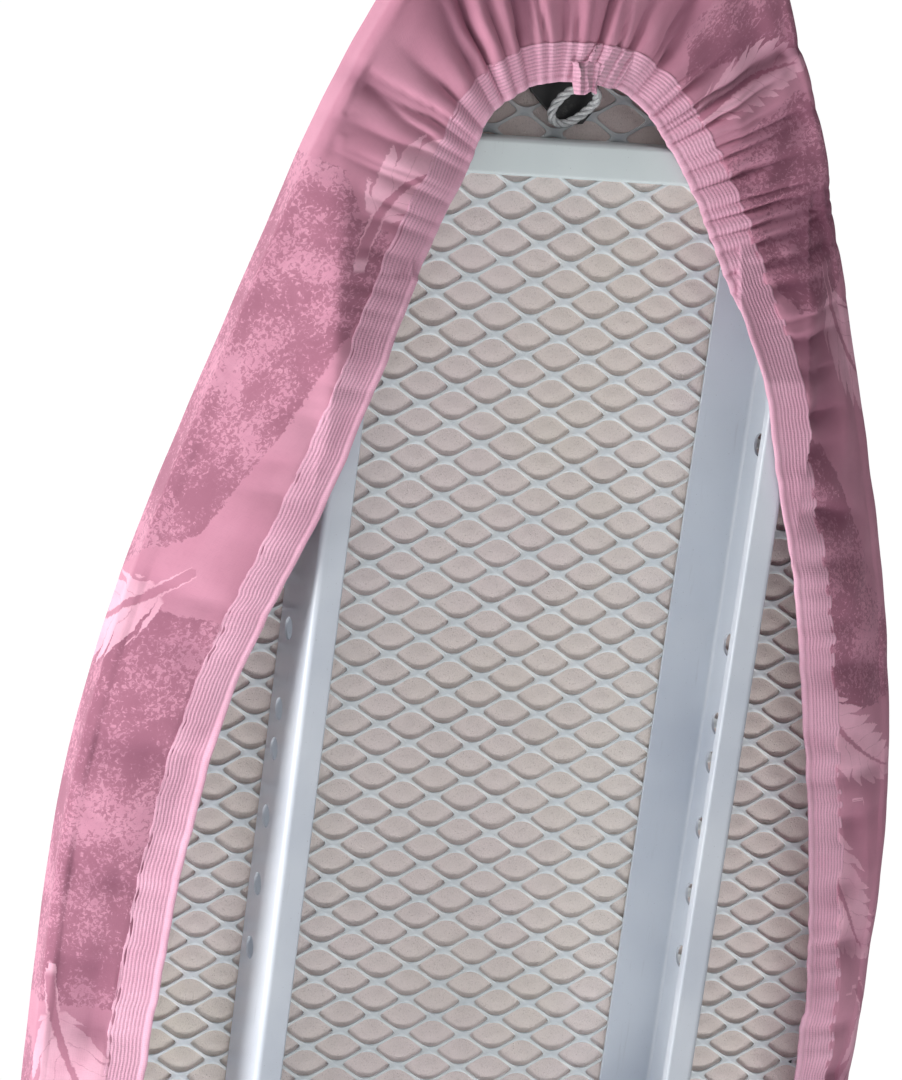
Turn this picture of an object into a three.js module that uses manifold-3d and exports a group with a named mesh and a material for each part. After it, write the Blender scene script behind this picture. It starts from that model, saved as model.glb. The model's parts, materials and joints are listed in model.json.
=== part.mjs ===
// Full-size domestic ironing board, shown standing open and upright.
// Millimetres. +X runs towards the nose, +Y to the left hand of someone standing at the
// tail and facing the nose, +Z up. The origin is on the floor, under the middle of the deck.
// Places along the deck are given as 's', the distance behind the nose tip.
import * as THREE from 'three';
import Module from 'manifold-3d';
import { mergeVertices } from 'three/addons/utils/BufferGeometryUtils.js';

const wasm = await Module();
wasm.setup();

// ---------------------------------------------------------------- driving dimensions
const DECK_LENGTH = 1100;        // nose tip to tail edge, over the cover
const DECK_HALF_WIDTH = 160.4;   // over the cover
const TAIL_CORNER_R = 60;
const FOOT_CAP_R = 14;           // sets the height of the foot bars
const LEG_LENGTH = 965;          // top pivot to foot bar axis
const UPPER_LENGTH = 367.7;      // top pivot to crossing pivot
const LEG_ANGLE = THREE.MathUtils.degToRad(55.17);  // leg to floor
const PIVOT_DROP = 12;           // top pivots below the mesh underside
const TAIL_PIVOT_S = 940;        // fixed pivot
const CARRIAGE_S = 520;          // sliding pivot

const RAIL_OUT = 84;             // outer face of the rail web, from the centre line
const RAIL_T = 0.9;
const RAIL_DEPTH = 35;
const RAIL_LIP = 3.4;

const LEG_R = 10;
const INNER_LEG_Y = 20;
const OUTER_LEG_Y = 46;
const TONGUE_T = 5;              // flattened top end of a leg
const FOOT_BAR_R = 11;
const FOOT_BAR_HALF = 165;
const ROD_R = 4;                 // tail and crossing pivot rods
const ROD_HOLE_R = 4.35;
const CARRIAGE_R = 6;

const LAYER_GAP = 0.2;           // between the mesh and what lies against it
const SIDE_PLAY = 0.3;           // along a pivot, at a rail or shoe
const SPACER_PLAY = 0.4;         // along a pivot, between a spacer and a leg

// ---------------------------------------------------------------- derived places
const xAt = (s) => DECK_LENGTH / 2 - s;
const FOOT_Z = FOOT_CAP_R;
const PIVOT_Z = FOOT_Z + LEG_LENGTH * Math.sin(LEG_ANGLE);
const MESH_Z = PIVOT_Z + PIVOT_DROP;             // underside of the mesh
const FRAME_TOP_Z = MESH_Z - LAYER_GAP;          // top of the rim, cross bars and rails
const RAIL_BOTTOM_Z = FRAME_TOP_Z - RAIL_DEPTH;
const TAIL_PIVOT_X = xAt(TAIL_PIVOT_S);
const CARRIAGE_X = xAt(CARRIAGE_S);
const SIDES = [['left', 1], ['right', -1]];

const MATERIALS = {
  paint: { color: 0xdfe3ea, roughness: 0.38, metalness: 0.1 },
  zinc: { color: 0xb9bcc0, roughness: 0.35, metalness: 0.9 },
  rubber: { color: 0xa9adb3, roughness: 0.75, metalness: 0 },
  nylon: { color: 0x8d9299, roughness: 0.6, metalness: 0 },
  black: { color: 0x17181a, roughness: 0.55, metalness: 0 },
  foam: { color: 0xb9a6a2, roughness: 0.95, metalness: 0 },
  cover: { color: 0xc48aa4, roughness: 0.9, metalness: 0 },
  elastic: { color: 0xd98fae, roughness: 0.95, metalness: 0 },
  cord: { color: 0xd5d8dc, roughness: 0.3, metalness: 0 },
};

const board = new THREE.Group();
board.name = 'ironing_board';

function put(name, geometry, material) {
  const mesh = new THREE.Mesh(geometry, new THREE.MeshStandardMaterial(MATERIALS[material]));
  mesh.name = name;
  board.add(mesh);
}

// ---------------------------------------------------------------- solids and booleans
function toSolid(geometry) {
  const bare = geometry.clone();
  bare.deleteAttribute('normal');
  bare.deleteAttribute('uv');
  const merged = mergeVertices(bare, 1e-4);
  return new wasm.Manifold(new wasm.Mesh({
    numProp: 3,
    vertProperties: new Float32Array(merged.attributes.position.array),
    triVerts: new Uint32Array(merged.index.array),
  }));
}

function indexedGeometry(positions, indices) {
  const geometry = new THREE.BufferGeometry();
  geometry.setAttribute('position', new THREE.BufferAttribute(new Float32Array(positions), 3));
  geometry.setIndex(new THREE.BufferAttribute(new Uint32Array(indices), 1));
  geometry.computeVertexNormals();
  return geometry;
}

function putSolid(name, solid, material) {
  const { vertProperties, triVerts } = solid.getMesh();
  put(name, indexedGeometry(vertProperties, triVerts), material);
}

const cut = (solid, ...tools) => tools.reduce((rest, tool) => rest.subtract(tool), solid);
const join = (solid, ...others) => others.reduce((sum, other) => sum.add(other), solid);
const mirrorTo = (side, solid) => (side < 0 ? solid.mirror([0, 1, 0]) : solid);

// ---------------------------------------------------------------- shape helpers
const vec = (x, y, z) => new THREE.Vector3(x, y, z);

// A closed surface from explicit points and triangles, turned to face out.
function closedGeometry(points, triangles) {
  let volume = 0;
  for (const [a, b, c] of triangles) {
    volume += points[a].dot(points[b].clone().cross(points[c]));
  }
  return indexedGeometry(
    points.flatMap((p) => [p.x, p.y, p.z]),
    triangles.flatMap(([a, b, c]) => (volume > 0 ? [a, b, c] : [a, c, b])),
  );
}

// A round rod between two points, with one flat facing 'up'.
function rod(start, end, radius, segments = 14, up = vec(0, 0, 1)) {
  const axis = end.clone().sub(start);
  const length = axis.length();
  axis.normalize();
  const flat = up.clone().addScaledVector(axis, -up.dot(axis)).normalize();
  const geometry = new THREE.CylinderGeometry(radius, radius, length, segments, 1);
  geometry.rotateY(Math.PI / segments);
  const frame = new THREE.Matrix4().makeBasis(axis.clone().cross(flat), axis, flat);
  frame.setPosition(start.clone().add(end).multiplyScalar(0.5));
  return geometry.applyMatrix4(frame);
}

// A rod along Y; its two ends may be given in either order.
const crossRod = (x, z, ya, yb, radius, segments) => rod(
  vec(x, Math.min(ya, yb), z), vec(x, Math.max(ya, yb), z), radius, segments);
const crossSolid = (...args) => toSolid(crossRod(...args));

// The same, with its flats rather than its corners at the radius: a bore clears a round.
const crossBore = (x, z, ya, yb, radius, segments) => crossSolid(
  x, z, ya, yb, radius / Math.cos(Math.PI / segments), segments);

// A block; its Y limits may be given in either order.
function block(x0, x1, ya, yb, z0, z1) {
  const geometry = new THREE.BoxGeometry(x1 - x0, Math.abs(yb - ya), z1 - z0);
  return toSolid(geometry.translate((x0 + x1) / 2, (ya + yb) / 2, (z0 + z1) / 2));
}

const shapeOf = (outline) => new THREE.Shape(outline.map(([a, b]) => new THREE.Vector2(a, b)));
const extrude = (outline, depth) => new THREE.ExtrudeGeometry(
  shapeOf(outline), { depth, bevelEnabled: false });

// The XY outline of some points, thickened from z0 to z1.
const plate = (points, z0, z1) => extrude(points.map((p) => [p.x, p.y]), z1 - z0)
  .translate(0, 0, z0);

// A YZ outline, extruded along X from x0 to x1.
const extrudeX = (outline, x0, x1) => toSolid(extrude(outline, x1 - x0)
  .applyMatrix4(new THREE.Matrix4().makeBasis(vec(0, 1, 0), vec(0, 0, 1), vec(1, 0, 0)))
  .translate(x0, 0, 0));

// An XZ outline, extruded along Y; y0 and y1 may be in either order.
const extrudeY = (outline, y0, y1) => toSolid(
  extrude(outline.map(([x, z]) => [x, -z]), Math.abs(y1 - y0))
    .applyMatrix4(new THREE.Matrix4().makeBasis(vec(1, 0, 0), vec(0, 0, -1), vec(0, 1, 0)))
    .translate(0, Math.min(y0, y1), 0));

// A round wire along a curve, with 'sides' points round its section.
function wire(radius, sides, steps, path) {
  const section = Array.from({ length: sides }, (_, k) => {
    const angle = k * 2 * Math.PI / sides;
    return [radius * Math.cos(angle), radius * Math.sin(angle)];
  });
  return new THREE.ExtrudeGeometry(
    shapeOf(section), { steps, bevelEnabled: false, extrudePath: path });
}

// A closed section carried round a closed row of stations.
function loopSweep(sections) {
  const count = sections.length;
  const size = sections[0].length;
  const triangles = [];
  for (let i = 0; i < count; i++) {
    for (let j = 0; j < size; j++) {
      const here = i * size;
      const next = ((i + 1) % count) * size;
      const k = (j + 1) % size;
      triangles.push([here + j, here + k, next + k], [here + j, next + k, next + j]);
    }
  }
  return closedGeometry(sections.flat(), triangles);
}

// ---------------------------------------------------------------- deck outline
const CORNER_S = DECK_LENGTH - TAIL_CORNER_R;
const CORNER_Y = DECK_HALF_WIDTH - TAIL_CORNER_R;

// A station on the round tail corner, turned by 'degrees' from the side of the deck.
function cornerStation(degrees, elasticS, elasticY) {
  const angle = THREE.MathUtils.degToRad(degrees);
  return [CORNER_S + TAIL_CORNER_R * Math.sin(angle),
    CORNER_Y + TAIL_CORNER_R * Math.cos(angle), elasticS, elasticY];
}

// Left half of the outline, from the nose tip to the middle of the tail:
// s, half width over the cover, then s and half width of the elastic's free edge.
const HALF_OUTLINE = [
  [0, 0, 81, 0],
  [2.2, 18, 81.2, 6],
  [8, 35, 82, 12],
  [18, 50, 84, 17.5],
  [30, 60.5, 87, 22.5],
  [43, 68, 91, 27],
  [58.7, 75, 96, 31.3],
  [76, 83, 104, 36],
  [93.2, 89.9, 114, 41],
  [110.4, 96.1, 127, 47.6],
  [127.7, 101.4, 141, 54],
  [145, 106.9, 155, 60.3],
  [162.2, 112.4, 170, 66.2],
  [179.4, 117.8, 185, 71.6],
  [196.6, 123.3, 200, 76],
  [213.9, 128.6, 216, 80.6],
  [231.1, 133.9, 232, 86],
  [248.4, 138.8, 249, 92],
  [272, 144.8, 272, 99.5],
  [300, 150.6, 300, 107.3],
  [334.6, 156.1, 334, 114.8],
  [369, 158.9, 369, 120.6],
  [410, 160.0, 410, 125.3],
  [455, DECK_HALF_WIDTH, 455, 127.8],
  [560, DECK_HALF_WIDTH, 560, 128.5],
  [680, DECK_HALF_WIDTH, 680, 128.5],
  [800, DECK_HALF_WIDTH, 795, 128.5],
  [900, DECK_HALF_WIDTH, 885, 128.5],
  [980, DECK_HALF_WIDTH, 950, 127.5],
  [CORNER_S, DECK_HALF_WIDTH, 985, 122],
  cornerStation(22.5, 1002, 114),
  cornerStation(45, 1014, 103),
  cornerStation(67.5, 1022, 88),
  [DECK_LENGTH, CORNER_Y, 1028, 68],
  [DECK_LENGTH, 50, 1031, 34],
  [DECK_LENGTH, 0, 1032, 0],
];

// The whole outline, counter-clockwise from the nose tip, with its outward normals.
const station = ([s, y, elasticS, elasticY], side) => (
  { s, y: side * y, elasticS, elasticY: side * elasticY });
const RING = [
  ...HALF_OUTLINE.map((row) => station(row, 1)),
  ...HALF_OUTLINE.slice(1, -1).reverse().map((row) => station(row, -1)),
];
RING.forEach((point, i) => {
  const before = RING[(i + RING.length - 1) % RING.length];
  const after = RING[(i + 1) % RING.length];
  const dx = xAt(after.s) - xAt(before.s);
  const dy = after.y - before.y;
  const length = Math.hypot(dx, dy);
  point.normalX = dy / length;
  point.normalY = -dx / length;
});
const inset = (point, distance, z) => vec(
  xAt(point.s) - point.normalX * distance, point.y - point.normalY * distance, z);

// ---------------------------------------------------------------- mesh top, rim, pad
// The mesh top is a plain sheet of the same weight as the open mesh: a quarter of the
// 1 mm sheet is metal. The pad sits at the height of the real thickness.
const SHEET_T = 0.25;
const MESH_T = 1;
const MESH_INSET = 3.6;
const RIM_INSET = 1.6;
const RIM_T = 1;
const RIM_H = 10;
const PAD_INSET = 2.6;
const PAD_T = 5;
const PAD_Z = MESH_Z + MESH_T + LAYER_GAP;

const insetPlate = (distance, z, thickness) => plate(
  RING.map((p) => inset(p, distance, 0)), z, z + thickness);

put('mesh_top', insetPlate(MESH_INSET, MESH_Z, SHEET_T), 'paint');
put('edge_rim', loopSweep(RING.map((p) => [
  inset(p, RIM_INSET, FRAME_TOP_Z),
  inset(p, RIM_INSET + RIM_T, FRAME_TOP_Z),
  inset(p, RIM_INSET + RIM_T, FRAME_TOP_Z - RIM_H),
  inset(p, RIM_INSET, FRAME_TOP_Z - RIM_H),
])), 'paint');
put('foam_pad', insetPlate(PAD_INSET, PAD_Z, PAD_T), 'foam');

// ---------------------------------------------------------------- cross bars
const BAR_W = 13;
const BAR_H = 11.6;
const BAR_T = 0.9;
const BAR_VOID_OVERRUN = 9;

// Open-ended box tube, its ends mitred to follow the rim. The half lengths are those of
// its nose-side and tail-side faces.
function crossBar(name, noseS, noseHalf, tailHalf) {
  const body = (wall, overrun) => {
    const tailX = xAt(noseS + BAR_W) + wall;
    const noseX = xAt(noseS) - wall;
    const tailY = tailHalf + overrun;
    const noseY = noseHalf + overrun;
    return toSolid(plate(
      [vec(tailX, tailY), vec(tailX, -tailY), vec(noseX, -noseY), vec(noseX, noseY)],
      FRAME_TOP_Z - BAR_H + wall, FRAME_TOP_Z - wall));
  };
  putSolid(name, cut(body(0, 0), body(BAR_T, BAR_VOID_OVERRUN)), 'paint');
}
crossBar('nose_crossbar', 102, 88.2, 92.2);
crossBar('tail_crossbar', 1052, 152, 148);

// ---------------------------------------------------------------- rails
const RAIL_NOSE_S = 115.4;
const RAIL_TAIL_S = 1051.6;
const TOP_FLANGE_IN = 63.5;      // free edges of the flanges, from the centre line
const BOTTOM_FLANGE_IN = 73.8;
const RAIL_BEND_R = 2.4;         // outside radius
const LOCK_HOLES_S = [206, 281, 311, 326, 351.5, 377.5, 402, 493.5, 520, 547];
const LOCK_HOLE_R = 4.2;
const RAIL_ROD_CLEARANCE = 0.3;
const SLOPE_START_S = 178;       // the rail has its full depth between these two
const SLOPE_END_S = 985;

// Inward-facing lipped channel: wide top flange against the mesh, web outboard, narrow
// bottom flange with a short lip turned back up.
function railProfile() {
  const bendY = RAIL_OUT - RAIL_BEND_R;
  const topBendZ = FRAME_TOP_Z - RAIL_BEND_R;
  const bottomBendZ = RAIL_BOTTOM_Z + RAIL_BEND_R;
  const insideR = RAIL_BEND_R - RAIL_T;
  // three points round a bend
  const bend = (z, radius, from, to) => [from, (from + to) / 2, to].map((degrees) => {
    const angle = THREE.MathUtils.degToRad(degrees);
    return [bendY + radius * Math.cos(angle), z + radius * Math.sin(angle)];
  });
  return [
    [TOP_FLANGE_IN, FRAME_TOP_Z],
    ...bend(topBendZ, RAIL_BEND_R, 90, 0),
    ...bend(bottomBendZ, RAIL_BEND_R, 0, -90),
    [BOTTOM_FLANGE_IN, RAIL_BOTTOM_Z],
    [BOTTOM_FLANGE_IN, RAIL_BOTTOM_Z + RAIL_LIP],
    [BOTTOM_FLANGE_IN + RAIL_T, RAIL_BOTTOM_Z + RAIL_LIP],
    [BOTTOM_FLANGE_IN + RAIL_T, RAIL_BOTTOM_Z + RAIL_T],
    ...bend(bottomBendZ, insideR, -90, 0),
    ...bend(topBendZ, insideR, 0, 90),
    [TOP_FLANGE_IN, FRAME_TOP_Z - RAIL_T],
  ].reverse();
}

// Cutter for what lies below a slope between two depths under the rail top.
function slopeCutter(s0, depth0, s1, depth1) {
  const below = 60;
  const z0 = FRAME_TOP_Z - depth0;
  const z1 = FRAME_TOP_Z - depth1;
  return extrudeY(
    [[xAt(s0), z0], [xAt(s1), z1], [xAt(s1), z1 - below], [xAt(s0), z0 - below]], 50, 100);
}

function rail(name, side) {
  const hole = (s, radius, segments) => crossBore(xAt(s), PIVOT_Z, 70, 100, radius, segments);
  const solid = cut(
    extrudeX(railProfile(), xAt(RAIL_TAIL_S), xAt(RAIL_NOSE_S)),
    slopeCutter(95, 6, SLOPE_START_S, RAIL_DEPTH),
    slopeCutter(SLOPE_END_S, RAIL_DEPTH, 1068, 3.5),
    ...LOCK_HOLES_S.map((s) => hole(s, LOCK_HOLE_R, 14)),
    hole(TAIL_PIVOT_S, ROD_R + RAIL_ROD_CLEARANCE, 12),
  );
  putSolid(name, mirrorTo(side, solid), 'paint');
}
for (const [label, side] of SIDES) rail(`${label}_rail`, side);

// ---------------------------------------------------------------- cover and its elastic
const COVER_T = 0.9;
const COVER_Z = PAD_Z + PAD_T + LAYER_GAP;       // underside of the cover's top panel
const BAND_W = 14.5;
const BAND_T = 1;
const SKIRT_START = BAND_W + 0.5;                // skirt's edge, in from the free edge
const SKIRT_INSET = 4.5;                         // where the skirt leaves the side wall
const SKIRT_DROP = 14;

// Top edge and side wall of the cover, outside and inside: inset, height.
const COVER_OUTSIDE = [
  [1.6, COVER_Z + COVER_T], [0.2, COVER_Z - 0.7], [0, MESH_Z - 2], [0, MESH_Z - 10.8]];
const COVER_INSIDE = [
  [2.1, COVER_Z], [1.1, COVER_Z - 1.2], [1, MESH_Z - 2], [1, MESH_Z - 10.5]];

// s, drop of the elastic's free edge below the mesh underside. It dips where the skirt is
// stretched over the rails.
const HEM_DROP = [
  [60, 15], [110, 16.5], [150, 28], [178, 38.2], [240, 38.2], [320, 27], [420, 20],
  [900, 20], [1000, 22], [1100, 22]];
// s, depth of the rail that the skirt has to pass under.
const RAIL_TAPER = [
  [100, 12], [RAIL_NOSE_S, 13], [SLOPE_START_S, RAIL_DEPTH], [SLOPE_END_S, RAIL_DEPTH],
  [1030, 17], [1060, 12.5]];
// Region of the skirt held below the rails.
const RAIL_ZONE = { minS: 108, maxS: 1056, minY: 60, maxY: 88.5, clearance: 2.4 };
// Fold over a rail's outer corner, at y, on stations whose skirt runs from inside
// maxEdgeY to outside minBaseY; margin keeps it off both ends of the skirt.
const RAIL_FOLD = { y: 88.4, maxEdgeY: 88, minBaseY: 90, minS: 100, maxS: 1060, margin: 3 };

function interpolate(table, s) {
  if (s <= table[0][0]) return table[0][1];
  const i = table.findIndex(([rowS]) => s <= rowS);
  if (i < 0) return table[table.length - 1][1];
  const [s0, value0] = table[i - 1];
  const [s1, value1] = table[i];
  return value0 + (s - s0) / (s1 - s0) * (value1 - value0);
}

function keepUnderRail(point) {
  const { minS, maxS, minY, maxY, clearance } = RAIL_ZONE;
  const s = DECK_LENGTH / 2 - point.x;
  const y = Math.abs(point.y);
  if (s > minS && s < maxS && y > minY && y < maxY) {
    point.z = Math.min(point.z, FRAME_TOP_Z - interpolate(RAIL_TAPER, s) - clearance);
  }
  return point;
}

// Middle line of the band and skirt at one station of the ring.
function hemAt(p) {
  const edge = keepUnderRail(
    vec(xAt(p.elasticS), p.elasticY, MESH_Z - interpolate(HEM_DROP, p.elasticS)));
  const base = inset(p, SKIRT_INSET, MESH_Z - SKIRT_DROP);
  const outward = base.clone().sub(edge).setZ(0);
  const span = outward.length();
  outward.normalize();
  // a point at a level distance from the free edge
  const at = (distance) => keepUnderRail(vec(
    edge.x + outward.x * distance,
    edge.y + outward.y * distance,
    edge.z + (base.z - edge.z) * (distance / span) ** 2));

  let first = SKIRT_START + (span - SKIRT_START) * 0.33;
  let second = SKIRT_START + (span - SKIRT_START) * 0.66;
  const { y, maxEdgeY, minBaseY, minS, maxS, margin } = RAIL_FOLD;
  const edgeY = Math.abs(edge.y);
  if (edgeY < maxEdgeY && Math.abs(base.y) > minBaseY && p.s > minS && p.s < maxS) {
    const fold = (y - edgeY) / Math.abs(outward.y);
    if (fold > BAND_W + margin && fold < span - margin) {
      first = fold;
      second = (fold + span) / 2;
    }
  }
  return { edge, bandTop: at(BAND_W), skirt: [base, at(second), at(first), at(SKIRT_START)] };
}

const HEM = RING.map(hemAt);
const raised = (point, height) => vec(point.x, point.y, point.z + height);

// One closed sheet: an outer and an inner skin, joined along the edge of the skirt.
function coverGeometry() {
  const skin = (profile, height) => RING.map((p, i) => [
    ...profile.map(([distance, z]) => inset(p, distance, z)),
    ...HEM[i].skirt.map((q) => raised(q, height)),
  ]);
  const outside = skin(COVER_OUTSIDE, -COVER_T / 2);
  const inside = skin(COVER_INSIDE, COVER_T / 2);
  const count = RING.length;
  const size = outside[0].length;
  const out = (i, j) => (i % count) * size + j;
  const inn = (i, j) => count * size + out(i, j);

  const triangles = [];
  const topOutline = outside.map(([top]) => new THREE.Vector2(top.x, top.y));
  for (const [a, b, c] of THREE.ShapeUtils.triangulateShape(topOutline, [])) {
    triangles.push([out(a, 0), out(b, 0), out(c, 0)], [inn(a, 0), inn(c, 0), inn(b, 0)]);
  }
  const last = size - 1;
  for (let i = 0; i < count; i++) {
    const n = i + 1;
    for (let j = 0; j < last; j++) {
      triangles.push(
        [out(i, j), out(i, j + 1), out(n, j + 1)], [out(i, j), out(n, j + 1), out(n, j)],
        [inn(i, j), inn(n, j + 1), inn(i, j + 1)], [inn(i, j), inn(n, j), inn(n, j + 1)]);
    }
    triangles.push(
      [out(i, last), inn(i, last), inn(n, last)], [out(i, last), inn(n, last), out(n, last)]);
  }
  return closedGeometry([...outside.flat(), ...inside.flat()], triangles);
}
put('cover', coverGeometry(), 'cover');
put('cover_elastic', loopSweep(HEM.map(({ edge, bandTop }) => [
  raised(edge, -BAND_T / 2), raised(bandTop, -BAND_T / 2),
  raised(bandTop, BAND_T / 2), raised(edge, BAND_T / 2),
])), 'elastic');

// ---------------------------------------------------------------- cord tab and cord
// A flat tab held against the nose of the mesh. Columns: y, s.
const TAB_OUTLINE = [
  [-18.4, 83.8], [-16.6, 86.5], [-9.5, 93], [-5.9, 97.7], [3.6, 96.4],
  [8.8, 89.1], [7, 80], [4, 74], [-12, 73]];
const TAB_TOP_DROP = 1.4;
const TAB_BOTTOM_DROP = 3.4;
put('cord_tab', plate(TAB_OUTLINE.map(([y, s]) => vec(xAt(s), y, 0)),
  MESH_Z - TAB_BOTTOM_DROP, MESH_Z - TAB_TOP_DROP), 'black');

// The loop of cord tied to the join of the elastic. Columns: y, s, drop below the mesh.
const CORD_PATH = [
  [-3.8, 83.4, 11.5], [-7.1, 85.6, 9.5], [-9.2, 89.4, 7], [-10, 93.2, 5.7],
  [-8, 96.2, 5.5], [-4.4, 96.4, 5.7], [-0.6, 94.2, 6.2], [3, 90.9, 7],
  [4.9, 87.6, 8.9], [4.2, 84.8, 10.6], [1.3, 83.4, 11.8]];
const CORD_R = 1.35;
put('cover_cord', wire(CORD_R, 7, 24, new THREE.CatmullRomCurve3(
  CORD_PATH.map(([y, s, drop]) => vec(xAt(s), y, MESH_Z - drop)), false, 'centripetal')), 'cord');

// ---------------------------------------------------------------- pivot hardware
const ROD_CAP_R = 7.5;
const ROD_CAP_OVERHANG = 2.5;    // past the end of the rod
const ROD_CAP_END_GAP = 0.4;
const ROD_FIT = 0.2;             // radial clearance of caps and spacers on a rod
const CARRIAGE_FIT = 0.25;       // and of the shoes and spacers on the carriage tube

// A pivot rod with a push-on cap, a blind cup, over each end.
function pivotRod(name, x, z, rodHalf, capIn) {
  put(`${name}_rod`, crossRod(x, z, -rodHalf, rodHalf, ROD_R, 12), 'zinc');
  for (const [label, side] of SIDES) {
    putSolid(`${name}_cap_${label}`, cut(
      crossSolid(x, z, side * capIn, side * (rodHalf + ROD_CAP_OVERHANG), ROD_CAP_R, 14),
      crossBore(x, z, side * (capIn - 1), side * (rodHalf + ROD_CAP_END_GAP),
        ROD_R + ROD_FIT, 12)), 'zinc');
  }
}

// A nylon tube on a pivot; ya and yb may be in either order.
function spacer(name, x, z, ya, yb, radius, boreR, segments = 14) {
  putSolid(name, cut(
    crossSolid(x, z, ya, yb, radius, segments),
    crossBore(x, z, Math.min(ya, yb) - 1, Math.max(ya, yb) + 1, boreR, segments)), 'nylon');
}

// ---------------------------------------------------------------- tail pivot
// Fixed to the rails.
const TAIL_SPACER_R = 6.5;
const TONGUE_GAP = TONGUE_T / 2 + SPACER_PLAY;   // tongue middle to spacer end
const tailSpacer = (label, ya, yb) => spacer(
  `tail_spacer_${label}`, TAIL_PIVOT_X, PIVOT_Z, ya, yb, TAIL_SPACER_R, ROD_R + ROD_FIT);

pivotRod('tail_pivot', TAIL_PIVOT_X, PIVOT_Z, 89, RAIL_OUT + SIDE_PLAY);
for (const [label, side] of SIDES) {
  tailSpacer(label, side * (INNER_LEG_Y + TONGUE_GAP), side * (RAIL_OUT - RAIL_T - SIDE_PLAY));
}
tailSpacer('middle', -(INNER_LEG_Y - TONGUE_GAP), INNER_LEG_Y - TONGUE_GAP);

// ---------------------------------------------------------------- legs
const LEG_WALL = 1.5;
const FOOT_BAR_WALL = 1.7;
const TUBE_START = 16;           // top pivot to the start of the round tube
const TONGUE_R = 9.4;
const TONGUE_HALF_W = TONGUE_R * 0.97;
const TONGUE_LENGTH = 30;        // from the pivot, running down inside the tube

// One weldment: two tubes with flattened top ends, on one foot bar.
// The legs run down towards the nose (toward = 1) or the tail (toward = -1).
function legFrame(name, topX, toward, legY, topHoleR) {
  const cos = Math.cos(LEG_ANGLE);
  const sin = Math.sin(LEG_ANGLE);
  // a point 'down' the leg from the top pivot and 'off' its axis
  const along = (down, y, off = 0) => vec(
    topX + toward * (down * cos + off * sin), y, PIVOT_Z - down * sin + off * cos);
  const legRod = (from, to, y, radius) => toSolid(
    rod(along(from, y), along(to, y), radius, 14, vec(0, 1, 0)));
  const foot = along(LEG_LENGTH, 0);
  const crossing = along(UPPER_LENGTH, 0);
  const voidEnd = LEG_LENGTH - FOOT_BAR_R + 0.6;

  let solid = crossSolid(foot.x, foot.z, -FOOT_BAR_HALF, FOOT_BAR_HALF, FOOT_BAR_R, 14);
  let voids = crossBore(foot.x, foot.z, -FOOT_BAR_HALF - 1, FOOT_BAR_HALF + 1,
    FOOT_BAR_R - FOOT_BAR_WALL, 14);
  for (const y of [legY, -legY]) {
    solid = join(solid, legRod(TUBE_START, LEG_LENGTH, y, LEG_R));
    voids = join(voids, legRod(TUBE_START - 1, voidEnd, y, LEG_R - LEG_WALL));
  }
  solid = cut(solid, voids);

  const tongueSides = [
    [0, TONGUE_HALF_W], [TONGUE_LENGTH, TONGUE_HALF_W],
    [TONGUE_LENGTH, -TONGUE_HALF_W], [0, -TONGUE_HALF_W],
  ].map(([down, off]) => along(down, 0, off)).map((q) => [q.x, q.z]);
  for (const y of [legY, -legY]) {
    const y0 = y - TONGUE_T / 2;
    const y1 = y + TONGUE_T / 2;
    const tongue = join(
      crossSolid(topX, PIVOT_Z, y0, y1, TONGUE_R, 16), extrudeY(tongueSides, y0, y1));
    solid = cut(join(solid, tongue),
      crossBore(topX, PIVOT_Z, y0 - 2, y1 + 2, topHoleR, 14),
      crossBore(crossing.x, crossing.z, y - 15, y + 15, ROD_HOLE_R, 12));
  }
  putSolid(name, solid, 'paint');
}
legFrame('inner_leg_frame', TAIL_PIVOT_X, 1, INNER_LEG_Y, ROD_HOLE_R);
legFrame('outer_leg_frame', CARRIAGE_X, -1, OUTER_LEG_Y, CARRIAGE_R + 0.35);

// Rubber foot caps: cups over the ends of the foot bars, with a flat to stand on.
const FOOT_CAP_IN = 148;
const FOOT_CAP_OUT = 178;
const FOOT_CAP_FIT = 0.3;
const LEG_REACH = LEG_LENGTH * Math.cos(LEG_ANGLE);
for (const [frame, x] of [
  ['inner', TAIL_PIVOT_X + LEG_REACH],
  ['outer', CARRIAGE_X - LEG_REACH],
]) {
  for (const [label, side] of SIDES) {
    putSolid(`${frame}_foot_cap_${label}`, cut(
      crossBore(x, FOOT_Z, side * FOOT_CAP_IN, side * FOOT_CAP_OUT, FOOT_CAP_R, 12),
      crossBore(x, FOOT_Z, side * (FOOT_CAP_IN - 1), side * (FOOT_BAR_HALF + FOOT_CAP_FIT),
        FOOT_BAR_R + FOOT_CAP_FIT, 14)), 'rubber');
  }
}

// ---------------------------------------------------------------- crossing pivot
// Carried by the inner leg.
const CROSSING_X = TAIL_PIVOT_X + UPPER_LENGTH * Math.cos(LEG_ANGLE);
const CROSSING_Z = PIVOT_Z - UPPER_LENGTH * Math.sin(LEG_ANGLE);
const LARGE_SPACER_R = 9;
pivotRod('cross_pivot', CROSSING_X, CROSSING_Z, 60.5, OUTER_LEG_Y + LEG_R + 0.5);
for (const [label, side] of SIDES) {
  spacer(`cross_spacer_${label}`, CROSSING_X, CROSSING_Z,
    side * (INNER_LEG_Y + LEG_R + SPACER_PLAY), side * (OUTER_LEG_Y - LEG_R - SPACER_PLAY),
    LARGE_SPACER_R, ROD_R + ROD_FIT);
}

// ---------------------------------------------------------------- sliding carriage
const CARRIAGE_BORE_R = 3.8;
const CARRIAGE_HALF = 77.5;
const PIN_R = 3.4;

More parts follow.
